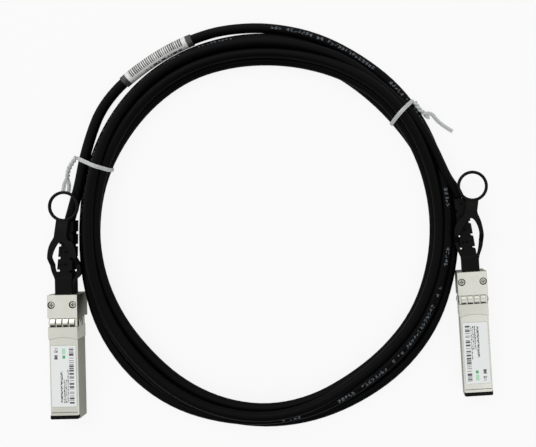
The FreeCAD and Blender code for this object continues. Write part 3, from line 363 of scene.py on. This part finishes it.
def strip(path, closed, tilt=0.0):
    """A flat film with a wire along its middle, on a path: one bmesh of both."""
    shape = bmesh.new()
    for reach, thickness in ((TIE_WIDTH / 2 - TIE_FILM / 2, TIE_FILM / 2), (0.0, TIE_WIRE)):
        data = bpy.data.curves.new("tie_strip", "CURVE")
        data.dimensions = "3D"
        data.twist_mode = "Z_UP"
        data.extrude, data.bevel_depth, data.bevel_resolution = reach, thickness, 2
        data.use_fill_caps = not closed
        line = data.splines.new("POLY")
        line.points.add(len(path) - 1)
        for point, place in zip(line.points, path):
            point.co, point.tilt = (*place, 1.0), tilt
        line.use_cyclic_u = closed
        shape.from_mesh(from_curve("tie_strip", data))
    return shape


def tie_band(spot, across):
    """The closed part of a tie: a strip on the hull of the strands in its plane."""
    rim = DIAMETER / 2 + TIE_WIRE
    found = crossings(spot, across)
    dots = []
    for place, height in found:
        for k in range(HULL_DOTS):
            angle = k * math.tau / HULL_DOTS
            reach = Vector((math.cos(angle), math.sin(angle))) * rim
            dots.append(Vector((place + reach.x, max(height + reach.y, TIE_WIRE + TABLE_GAP))))
    hull = [dots[k].to_3d() for k in convex_hull_2d(dots)]
    band = strip(hull, True)
    turn = Matrix((across, UP, across.cross(UP))).transposed().to_4x4()
    bmesh.ops.transform(band, matrix=Matrix.Translation(spot) @ turn, verts=band.verts)
    print("tie round", len(found), "strands, path of", len(hull), "points")
    return band


def wires(strands, radius):
    """Round wires, one along each list of places, as one bmesh."""
    shape = bmesh.new()
    for strand in strands:
        piece = tube("wire", strand, radius)
        shape.from_mesh(piece.data)
        bpy.data.objects.remove(piece)
    return shape


def twisted(points):
    """Two strands wound round each other along a path, as one bmesh."""
    path, travelled = centre_line(spline("tie_path", points, 10))
    strands = [[], []]
    for k, place in enumerate(path):
        ahead = (path[min(k + 1, len(path) - 1)] - path[max(k - 1, 0)]).normalized()
        side = ahead.cross(UP).normalized()
        angle = travelled[k] / TWIST_PITCH * math.tau
        offset = (side * math.cos(angle) + side.cross(ahead) * math.sin(angle)) * TWIST_OFFSET
        strands[0].append(place + offset)
        strands[1].append(place - offset)
    return wires(strands, TWIST_RADIUS)


def joined(name, shapes):
    """One piece of several bmeshes, which are used up."""
    whole = bmesh.new()
    for shape in shapes:
        step = bpy.data.meshes.new("step")
        shape.to_mesh(step)
        shape.free()
        whole.from_mesh(step)
        bpy.data.meshes.remove(step)
    data = bpy.data.meshes.new(name)
    whole.to_mesh(data)
    whole.free()
    return mesh_piece(name, data)


TIES = {
    "left": {
        "spot": Vector((-0.0844, 0.0621, 0)),
        "across": Vector((0.940, -0.342, 0)),
        "twist": (
            (-0.0950, 0.0662, 0.0052),
            (-0.0983, 0.0622, 0.0045),
            (-0.1002, 0.0585, 0.0032),
            (-0.1008, 0.0553, 0.0022),
        ),
        "ends": (
            (
                (-0.1006, 0.0560, 0.0023),
                (-0.1022, 0.0540, 0.0020),
                (-0.1030, 0.0512, 0.0012),
                (-0.1036, 0.0488, 0.0011),
            ),
            (
                (-0.1009, 0.0558, 0.0023),
                (-0.0999, 0.0535, 0.0020),
                (-0.1004, 0.0505, 0.0012),
                (-0.1009, 0.0480, 0.0011),
            ),
        ),
    },
    "right": {
        "spot": Vector((0.0627, 0.0877, 0)),
        "across": Vector((0.673, 0.740, 0)),
        "twist": (
            (0.0692, 0.0925, 0.0070),
            (0.0708, 0.0898, 0.0062),
            (0.0728, 0.0880, 0.0054),
            (0.0748, 0.0866, 0.0050),
        ),
        "ends": (
            (
                (0.0742, 0.0872, 0.0050),
                (0.0770, 0.0880, 0.0042),
                (0.0800, 0.0842, 0.0028),
                (0.0840, 0.0812, 0.0014),
                (0.0878, 0.0790, 0.0012),
            ),
            (
                (0.0740, 0.0868, 0.0050),
                (0.0752, 0.0854, 0.0044),
                (0.0763, 0.0856, 0.0040),
            ),
        ),
    },
}
ties = []
for side, facts in TIES.items():
    parts = [tie_band(facts["spot"], facts["across"]), twisted(facts["twist"])]
    for end in facts["ends"]:
        path, _ = centre_line(spline("tie_end", end, 8))
        parts.append(strip(path, False, math.pi / 2))
    piece = joined(f"twist_tie_{side}", parts)
    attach(piece, "cable")
    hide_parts(f"tie_{side}")
    ties.append(piece)

# %% [markdown]
# The pieces of the cord, the cable and its ties, are counted.

print("cord with", 1 + len(ties), "pieces on it")

# %% [markdown]
# ## The return springs
#
# Two tiny coil springs in each plug push its slide back to the nose. A pull on the tab squeezes them
# against the ends of their grooves. They are wound here as wire and ride on the cable's body.

# %% Springs wound as wire
SPRING_LENGTH = 6.2 * MM
SPRING_TURNS = 6
SPRING_STEPS = 16  # points per turn
SPRING_RADIUS = 0.525 * MM  # to the middle of the wire
SPRING_WIRE = 0.125 * MM  # radius of the wire itself
SPRING_SPREAD = 2.275 * MM  # from the middle of the plug to each spring
springs = []
for joint in frame["joints"]:
    plug = joint["name"][-1]
    pull = Vector(joint["axis"])
    middle = sum(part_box(f"return_springs_{plug}"), Vector()) / 2
    side = pull.cross(UP)
    strands = []
    for place in (-SPRING_SPREAD, SPRING_SPREAD):
        strands.append([])
        for k in range(SPRING_TURNS * SPRING_STEPS + 1):
            angle = k * math.tau / SPRING_STEPS
            share = k / (SPRING_TURNS * SPRING_STEPS) - 0.5
            ring = side * math.cos(angle) + UP * math.sin(angle)
            reach = pull * share * (SPRING_LENGTH - 2 * SPRING_WIRE)
            strands[-1].append(middle + side * place + ring * SPRING_RADIUS + reach)
    piece = joined(f"wound_springs_{plug}", [wires(strands, SPRING_WIRE)])
    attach(piece, "cable")
    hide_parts(f"return_springs_{plug}")
    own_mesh(piece)
    springs.append(piece)

# %% [markdown]
# ## Table and light
#
# The table is white paper. What the camera sees of it is mostly its own white, so that it stays clean,
# and the rest is lit as usual and keeps the soft shadows. Round it hangs a pale tent which darkens to
# the front and has a hole for the camera. Those give the bright metal something to reflect. Two large
# soft lamps add the rest.

# %% Table
TABLE_HALF = 3.0
TABLE_DROP = 0.05 * MM
OWN_WHITE = 0.88  # share of plain white in what the camera sees of the paper
MIRRORED_WHITE = 0.12  # the same in what metal and clear film show of it


def fresh(name):
    """A new node material: its node tree is empty."""
    material = bpy.data.materials.new(name)
    material.use_nodes = True
    material.node_tree.nodes.clear()
    return material, material.node_tree


shape = bmesh.new()
bmesh.ops.create_grid(shape, x_segments=1, y_segments=1, size=TABLE_HALF)
bmesh.ops.translate(shape, vec=(0, 0, -TABLE_DROP), verts=shape.verts)
data = bpy.data.meshes.new("table")
shape.to_mesh(data)
shape.free()
table = mesh_piece("table", data)

paper, tree = fresh("white_paper_table")
rays = node(tree, "ShaderNodeLightPath")
mirrored = calc(tree, "MAXIMUM", rays.outputs["Is Glossy Ray"], rays.outputs["Is Transmission Ray"])
mirrored = calc(tree, "MULTIPLY", mirrored, MIRRORED_WHITE)
share = calc(tree, "MULTIPLY_ADD", rays.outputs["Is Camera Ray"], OWN_WHITE, mirrored)
lit = node(tree, "ShaderNodeBsdfDiffuse", Color=colour("#dedede"))
glow = node(tree, "ShaderNodeEmission", Color=colour("#ffffff"), Strength=1.0)
mix = node(tree, "ShaderNodeMixShader", i0=share, i1=lit.outputs[0], i2=glow.outputs[0])
node(tree, "ShaderNodeOutputMaterial", Surface=mix.outputs[0])
table.data.materials.append(paper)
print("table", 2 * TABLE_HALF, "m wide")

# %% [markdown]
# The world is the tent. Glossy rays see it with its shades, the camera sees it plain white, and all
# other rays get a plain, weaker light from it. A shade is a patch of the sky round one direction, where
# the white falls off.

# %% Tent and lamps
world = bpy.data.worlds.new("studio_tent")
bpy.context.scene.world = world
world.use_nodes = True
tree = world.node_tree
tree.nodes.clear()
TENT_LIGHT = 0.62
# direction, cosines where a shade starts and is full, what is left of the tent's white there, and its kind
TENT_SHADES = (
    ((0.10, -0.90, 0.42), 0.43, 0.99, 0.0, "LINEAR"),
    ((0.10, -0.90, 0.42), 0.68, 0.78, 0.08, "SMOOTHSTEP"),
    ((-0.13, 0.18, 0.97), 0.950, 0.985, 0.40, "SMOOTHSTEP"),
)
heading = node(tree, "ShaderNodeTexCoord")
pale = None
for spot, low, high, least, kind in TENT_SHADES:
    toward = node(
        tree,
        "ShaderNodeVectorMath",
        {"operation": "DOT_PRODUCT"},
        i0=heading.outputs["Generated"],
        i1=Vector(spot).normalized(),
    )
    shade = node(
        tree,
        "ShaderNodeMapRange",
        {"interpolation_type": kind},
        Value=toward.outputs["Value"],
        From_Min=low,
        From_Max=high,
        To_Min=1.0,
        To_Max=least,
    )
    pale = shade.outputs[0] if pale is None else calc(tree, "MULTIPLY", pale, shade.outputs[0])
rays = node(tree, "ShaderNodeLightPath")
soft, shown, plain = (
    node(tree, "ShaderNodeBackground", Color=colour("#ffffff"), Strength=strength).outputs[0]
    for strength in (TENT_LIGHT, pale, 1.0)
)
mix = node(tree, "ShaderNodeMixShader", i0=rays.outputs["Is Glossy Ray"], i1=soft, i2=shown)
mix = node(tree, "ShaderNodeMixShader", i0=rays.outputs["Is Camera Ray"], i1=mix.outputs[0], i2=plain)
node(tree, "ShaderNodeOutputWorld", Surface=mix.outputs[0])

LAMP_TARGET = Vector((0, 0.03, 0))


def lamp(name, place, size, power):
    """A square area lamp that faces the middle of the coil."""
    data = bpy.data.lights.new(name, "AREA")
    data.size = size
    data.energy = power
    made = bpy.data.objects.new(name, data)
    made.location = place
    made.rotation_euler = (LAMP_TARGET - Vector(place)).to_track_quat("-Z", "Y").to_euler()
    bpy.context.scene.collection.objects.link(made)


lamp("key", (-0.45, 0.65, 0.80), 1.0, 4.0)
lamp("fill", (0.5, -0.5, 0.9), 0.8, 1.6)
print("lamps:", len(bpy.data.lights), "shades in the tent:", len(TENT_SHADES))

# %% [markdown]
# ## Finishes
#
# Each finish is a Principled shader with a fine grain in its bump. Grain is given by the real size of
# one grain, and the noise scale follows from it.

# %% Shader helpers
GRAIN_HEIGHT = 0.05 * MM


def finish(name, base, grain, depth, **settings):
    """A material: base is a hex colour or a socket, and grain is the size of a grain in millimetres."""
    material, tree = fresh(name)
    shader = node(tree, "ShaderNodeBsdfPrincipled", **settings)
    node(tree, "ShaderNodeOutputMaterial", Surface=shader.outputs[0])
    paint(tree, shader, base)
    place = node(tree, "ShaderNodeTexCoord")
    scale = 1 / (grain * MM)
    noise = node(tree, "ShaderNodeTexNoise", Vector=place.outputs["Object"], Scale=scale, Detail=3.0)
    bump = node(tree, "ShaderNodeBump", Strength=depth, Distance=GRAIN_HEIGHT, Height=noise.outputs[0])
    tree.links.new(bump.outputs[0], shader.inputs["Normal"])
    return material


def paint(tree, shader, base):
    """Give a shader its colour, which is a hex value or another node's socket."""
    if isinstance(base, str):
        shader.inputs["Base Color"].default_value = colour(base)
    else:
        tree.links.new(base, shader.inputs["Base Color"])


def shader_of(material):
    """The Principled shader of a material."""
    return next(n for n in material.node_tree.nodes if n.type == "BSDF_PRINCIPLED")


def within(tree, value, low, high):
    """1 where a value lies between two others, and 0 elsewhere."""
    above = calc(tree, "GREATER_THAN", value, low)
    return calc(tree, "MULTIPLY", above, calc(tree, "LESS_THAN", value, high))


def chance(tree, *steps):
    """A random number from 0 to 1 that changes with the whole part of each step."""
    parts = [calc(tree, "FLOOR", step) for step in steps] + [0.0, 0.0]
    spot = node(tree, "ShaderNodeCombineXYZ", i0=parts[0], i1=parts[1], i2=parts[2]).outputs[0]
    return node(tree, "ShaderNodeTexWhiteNoise", {"noise_dimensions": "3D"}, Vector=spot).outputs[0]


def inked(tree, ground, ink, mask):
    """A colour with ink laid on it where the mask is 1."""
    mixed = node(tree, "ShaderNodeMix", {"data_type": "RGBA"}, i0=mask)
    # sockets 6 and 7 are the two colours of a Mix node, and output 2 is its mixed colour
    for key, value in ((6, ground), (7, ink)):
        if isinstance(value, str):
            mixed.inputs[key].default_value = colour(value)
        else:
            tree.links.new(value, mixed.inputs[key])
    return mixed.outputs[2]


# %% [markdown]
# The jacket is black PVC, drawn through a die: matt, with a soft sheen along its top. A row of small
# pale marks is printed along it. They are blots in a grid of cells, three wide and four high for each
# sign, and say nothing.

# %% Jacket with its printed row
jacket = finish("drawn_pvc_jacket", "#050506", 0.5, 0.25, Roughness=0.5, Specular_IOR_Level=0.06)
tree = jacket.node_tree


def attribute(tree, name):
    """A number that the mesh carries on its points."""
    return node(tree, "ShaderNodeAttribute", {"attribute_name": name}).outputs["Fac"]


SIGN_PITCH = 1.9 * MM
SIGN_WIDTH = 0.67  # share of the pitch
ROW_EDGE = -0.15  # where the row starts sideways, and how high it is, as shares of the radius
ROW_HEIGHT = 0.62
CELLS_WIDE = 3.0
CELLS_HIGH = 4.0
BARE_CELLS = 0.42  # shares that stay bare: cells of a sign, words, and signs of a word
BARE_WORDS = 0.22
BARE_SIGNS = 0.12
WORD_LENGTH = 5.0
PRINT_ON_TOP = ((0.150, 0.430), (0.590, 0.710))  # metres along the cable; elsewhere it is below
INK_STRENGTH = 0.5
along, up, outward = (attribute(tree, name) for name in ("along", "up", "outward"))
sign = calc(tree, "DIVIDE", along, SIGN_PITCH)
inside = calc(tree, "FRACT", sign)
row = calc(tree, "DIVIDE", calc(tree, "SUBTRACT", outward, ROW_EDGE), ROW_HEIGHT)
cell = (calc(tree, "MULTIPLY", sign, CELLS_WIDE), calc(tree, "MULTIPLY", row, CELLS_HIGH))
marks = calc(tree, "GREATER_THAN", chance(tree, *cell), BARE_CELLS)
marks = calc(tree, "MULTIPLY", marks, within(tree, inside, 0.0, SIGN_WIDTH))
marks = calc(tree, "MULTIPLY", marks, within(tree, row, 0.0, 1.0))
word = calc(tree, "DIVIDE", sign, WORD_LENGTH)
words = calc(tree, "GREATER_THAN", chance(tree, word, 0.5), BARE_WORDS)
signs = calc(tree, "GREATER_THAN", chance(tree, sign, 7.5), BARE_SIGNS)
marks = calc(tree, "MULTIPLY", marks, calc(tree, "MULTIPLY", words, signs))
on_top = calc(tree, "MAXIMUM", *(within(tree, along, *stretch) for stretch in PRINT_ON_TOP))
above = calc(tree, "MULTIPLY", calc(tree, "GREATER_THAN", up, 0.0), on_top)
below = calc(tree, "MULTIPLY", calc(tree, "LESS_THAN", up, 0.0), calc(tree, "SUBTRACT", 1.0, on_top))
facing = calc(tree, "MAXIMUM", above, below)
marks = calc(tree, "MULTIPLY", calc(tree, "MULTIPLY", marks, facing), INK_STRENGTH)
paint(tree, shader_of(jacket), inked(tree, "#050506", "#7c858c", marks))
cable.data.materials.append(jacket)
print("jacket nodes:", len(tree.nodes))

# %% [markdown]
# The cable's label is polyester film with a satin gloss, white where the bars are printed, with clear
# ends through which the jacket shows grey.

# %% Film with bars
BAR_PITCH = 1.05 * MM
LEAST_BAR = 0.4  # share of the pitch that each bar fills, and how much more it may
MORE_BAR = 0.4
BAR_MARGIN = 2.0 * MM
BAR_SPAN = (-0.5, 0.85)  # sideways, as shares of the radius
MARK_PITCH = 0.6 * MM
MARK_SPAN = (-0.93, -0.78)
BARE_MARKS = 0.4
wrap = finish("polyester_wrap_film", "#e6e6e3", 1.5, 0.1, Roughness=0.3)
tree = wrap.node_tree
along, up, outward = (attribute(tree, name) for name in ("along", "up", "outward"))
bar = calc(tree, "DIVIDE", along, BAR_PITCH)
width = calc(tree, "MULTIPLY_ADD", chance(tree, bar, 3.5), MORE_BAR, LEAST_BAR)
bars = calc(tree, "LESS_THAN", calc(tree, "FRACT", bar), width)
margin = CLEAR_TAIL + BAR_MARGIN
bars = calc(tree, "MULTIPLY", bars, within(tree, along, margin, film_length - margin))
bars = calc(tree, "MULTIPLY", bars, within(tree, outward, *BAR_SPAN))
row = calc(tree, "GREATER_THAN", chance(tree, calc(tree, "DIVIDE", along, MARK_PITCH), 8.5), BARE_MARKS)
row = calc(tree, "MULTIPLY", row, within(tree, outward, *MARK_SPAN))
row = calc(tree, "MULTIPLY", row, within(tree, along, 0.3 * film_length, 0.85 * film_length))
print_mask = calc(tree, "MULTIPLY", calc(tree, "MAXIMUM", bars, row), 0.95)
ground = inked(tree, "#e6e6e3", "#3e3f41", print_mask)
white = within(tree, along, CLEAR_TAIL, film_length - CLEAR_TAIL)
paint(tree, shader_of(wrap), inked(tree, "#3b3d3e", ground, white))
film.data.materials.append(wrap)
print("film nodes:", len(tree.nodes))

# %% [markdown]
# The ties are PVC film over a soft steel wire. The film is a little clear, so light gets into it.

# %% Tie film
tie_film = finish(
    "tie_pvc_film",
    "#c4c8c5",
    0.8,
    0.15,
    Roughness=0.35,
    Subsurface_Weight=0.15,
    Subsurface_Radius=(0.001, 0.001, 0.001),
    Subsurface_Scale=1.0,
)
for piece in ties:
    piece.data.materials.append(tie_film)
print("ties with film:", len(ties))

# %% [markdown]
# The shells are die-cast zinc with satin nickel. Castings are never quite even, so a broad, faint
# mottle varies the tone. A shader that feels how open a spot is paints shade into the lines where two
# pieces meet and into grooves and recesses. Collar, slide and springs are stamped or wound from bright
# spring steel.

# %% Metals
SHADE_REACH = 0.6 * MM
PAINTED_SHADE_STRENGTH = 1.7


def mottled(name, pale_tone, dark_tone, blotch, grain, depth, **settings):
    """A finish whose tone wanders between two colours over blotches of a real size in millimetres, with
    painted shade in its crevices.
    """
    made = finish(name, pale_tone, grain, depth, **settings)
    tree = made.node_tree
    place = node(tree, "ShaderNodeTexCoord")
    scale = 1 / (blotch * MM)
    noise = node(tree, "ShaderNodeTexNoise", Vector=place.outputs["Object"], Scale=scale, Detail=4.0)
    tone = inked(tree, pale_tone, dark_tone, noise.outputs[0])
    # Painted shade: where little open air surrounds a spot, in crevices and where pieces meet, the colour
    # is darkened towards #2b2a24.
    open_air = node(tree, "ShaderNodeAmbientOcclusion", {"samples": 8}, Distance=SHADE_REACH)
    painted_shade = calc(tree, "MULTIPLY", calc(tree, "SUBTRACT", 1.0, open_air.outputs["AO"]), PAINTED_SHADE_STRENGTH)
    mask = node(tree, "ShaderNodeClamp", Value=painted_shade).outputs[0]
    paint(tree, shader_of(made), inked(tree, tone, "#2b2a24", mask))
    return made


def metal(name, pale_tone, dark_tone, blotch, grain, depth, roughness, metallic=1.0):
    """A mottled metal."""
    sheen = {"Metallic": metallic, "Roughness": roughness}
    return mottled(name, pale_tone, dark_tone, blotch, grain, depth, **sheen)


nickel = metal("satin_nickel_on_zinc", "#e9e9e0", "#dadacf", 6.0, 0.35, 0.25, 0.34, 0.85)
spring_steel = metal("stamped_spring_steel", "#e2e2d9", "#d6d6cb", 4.0, 0.5, 0.12, 0.2)
screw_steel = metal("plated_screw_steel", "#cfcfc8", "#b9b9b0", 1.0, 0.3, 0.15, 0.3)
gold = metal("hard_gold_plate", "#d8b45c", "#c79f45", 1.0, 0.4, 0.1, 0.22)
brass = metal("crimped_brass", "#c2ab6e", "#a8925a", 1.5, 0.5, 0.3, 0.35)
print("metals made:", ", ".join(made.name for made in (nickel, spring_steel, screw_steel, gold, brass)))

# %% [markdown]
# The shells' upright walls are given a darker colour than the top: painted shade, for the light that
# falls from above.

# %% Painted shade on the walls
STEEP = 0.3  # a face is a wall where its normal rises less than this
tree = nickel.node_tree
normal = node(tree, "ShaderNodeNewGeometry").outputs["True Normal"]
facing = node(tree, "ShaderNodeSeparateXYZ", Vector=normal)
painted_wall_shade = calc(tree, "LESS_THAN", calc(tree, "ABSOLUTE", facing.outputs[2]), STEEP)
shader = shader_of(nickel)
tone = shader.inputs["Base Color"].links[0].from_socket
# Painted shade: faces that stand upright are mixed towards a darker grey, #9c9c90.
paint(tree, shader, inked(tree, tone, "#9c9c90", calc(tree, "MULTIPLY", painted_wall_shade, 0.9)))
print("nickel nodes:", len(tree.nodes))

# %% [markdown]
# The lip and the pull tab are moulded nylon, slightly satin. The boot is softer and duller. The board
# is green laminate, and the pairs inside wear a pale foil.

# %% Plastics
DULL = {"Specular_IOR_Level": 0.1}
nylon = mottled("moulded_black_nylon", "#060607", "#0c0c0d", 5.0, 0.4, 0.3, Roughness=0.45, **DULL)
rubber = mottled("moulded_boot_rubber", "#050505", "#0a0a0a", 4.0, 0.3, 0.4, Roughness=0.6, **DULL)
laminate = mottled("green_laminate", "#235c3c", "#1b4a30", 2.0, 0.3, 0.2, Roughness=0.35)
foil = mottled("pair_foil", "#cfcabb", "#b5ae9c", 1.5, 0.8, 0.4, Metallic=0.3, Roughness=0.4)
epoxy = mottled("chip_epoxy", "#17181a", "#202123", 1.0, 0.2, 0.3, Roughness=0.55)
print("plastics made:", ", ".join(made.name for made in (nylon, rubber, laminate, foil, epoxy)))

# %% [markdown]
# Each plug's label is white film with plain stand-ins for print: a strip of bars down one side, lines
# of small signs beside it, two little squares and a green dot. It is drawn in the plug's own
# millimetres, from the tip of its nose, which a Mapping node turns the object's coordinates into.

# %% Plug labels
PLUGS = {"a": ((-0.0979, -0.05915, 0), 1.3, 1), "b": ((0.0996, -0.0480, 0), 3.45, -1)}
LABEL_MIDDLE = 20.65  # from the nose tip
BAR_STRIP = (2.7, 4.9, -13.6, 13.4)  # left, right, low and high, in millimetres from the label's middle
# the same for each line of signs, with a seed
SIGN_LINES = (
    (-1.5, -0.5, -12.8, 2.2, 1.5),
    (0.0, 0.6, -12.8, -0.8, 2.5),
    (0.9, 1.5, -12.8, -1.6, 3.5),
    (1.8, 2.3, -12.8, 3.0, 4.5),
)
SQUARES = ((-4.3, -2.7, 8.0, 10.1), (-4.3, -2.7, 11.3, 13.3))
GREEN_PATCH = (-0.6, 1.0, 10.4, 13.2)
GREEN_DOT = (-0.4, 0.9, 8.4, 9.8)


def plug_label(plug):
    """The label's film: PLUGS gives the nose tip, the turn in degrees and which way up the print runs."""
    nose, turn, way = PLUGS[plug]
    made = finish(f"printed_film_{plug}", "#eff1f1", 1.2, 0.06, Roughness=0.4)
    tree = made.node_tree
    place = node(tree, "ShaderNodeTexCoord")
    own = node(
        tree,
        "ShaderNodeMapping",
        {"vector_type": "TEXTURE"},
        Vector=place.outputs["Object"],
        Location=nose,
        Rotation=(0, 0, math.radians(turn)),
        Scale=(MM, MM, MM),
    )
    parts = node(tree, "ShaderNodeSeparateXYZ", Vector=own.outputs[0])
    across = calc(tree, "MULTIPLY", parts.outputs[0], float(way))
    length = calc(tree, "MULTIPLY", calc(tree, "SUBTRACT", parts.outputs[1], LABEL_MIDDLE), float(way))

    def box(left, right, low, high):
        """1 inside a rectangle of the label, and 0 outside it."""
        return calc(tree, "MULTIPLY", within(tree, across, left, right), within(tree, length, low, high))

    def blots(long, wide, seed, bare):
        """Cells of a size in millimetres, of which a share stays bare."""
        steps = (calc(tree, "DIVIDE", length, long), calc(tree, "DIVIDE", across, wide))
        return calc(tree, "GREATER_THAN", chance(tree, *steps, seed), bare)

    bars = calc(tree, "GREATER_THAN", chance(tree, calc(tree, "DIVIDE", length, 0.3), 2.5), 0.46)
    ink = calc(tree, "MULTIPLY", bars, box(*BAR_STRIP))
    for *edges, seed in SIGN_LINES:
        line = calc(tree, "MULTIPLY", blots(0.32, 0.3, seed, 0.33), box(*edges))
        ink = calc(tree, "MAXIMUM", ink, line)
    for edges in SQUARES:
        square = calc(tree, "MULTIPLY", blots(0.5, 0.5, 6.5, 0.35), box(*edges))
        ink = calc(tree, "MAXIMUM", ink, square)
    base = inked(tree, "#eff1f1", "#2c2e30", calc(tree, "MULTIPLY", ink, 0.92))
    base = inked(tree, base, "#b5e2c2", box(*GREEN_PATCH))
    base = inked(tree, base, "#3fae6c", box(*GREEN_DOT))
    paint(tree, shader_of(made), base)
    return made


# %% [markdown]
# Each piece that came from the frame now gets the finish of what it is made of.

# %% Finishes on the pieces
FINISHES = {
    "lower_shell": nickel,
    "upper_shell": nickel,
    "nose_insert": nylon,
    "emi_collar": spring_steel,
    "circuit_board": laminate,
    "edge_contacts": gold,
    "memory_chip": epoxy,
    "twinax_pairs": foil,
    "strain_boot": rubber,
    "cable_ferrule": brass,
    "cable_tail": jacket,
    "cover_screws": screw_steel,
    "pull_tab": nylon,
    "release_slide": spring_steel,
}
for plug in PLUGS:
    for stem, material in {**FINISHES, "shell_label": plug_label(plug)}.items():
        nodes[f"{stem}_{plug}"].data.materials.clear()
        nodes[f"{stem}_{plug}"].data.materials.append(material)
for piece in springs:
    piece.data.materials.append(spring_steel)
print("materials:", len(bpy.data.materials))
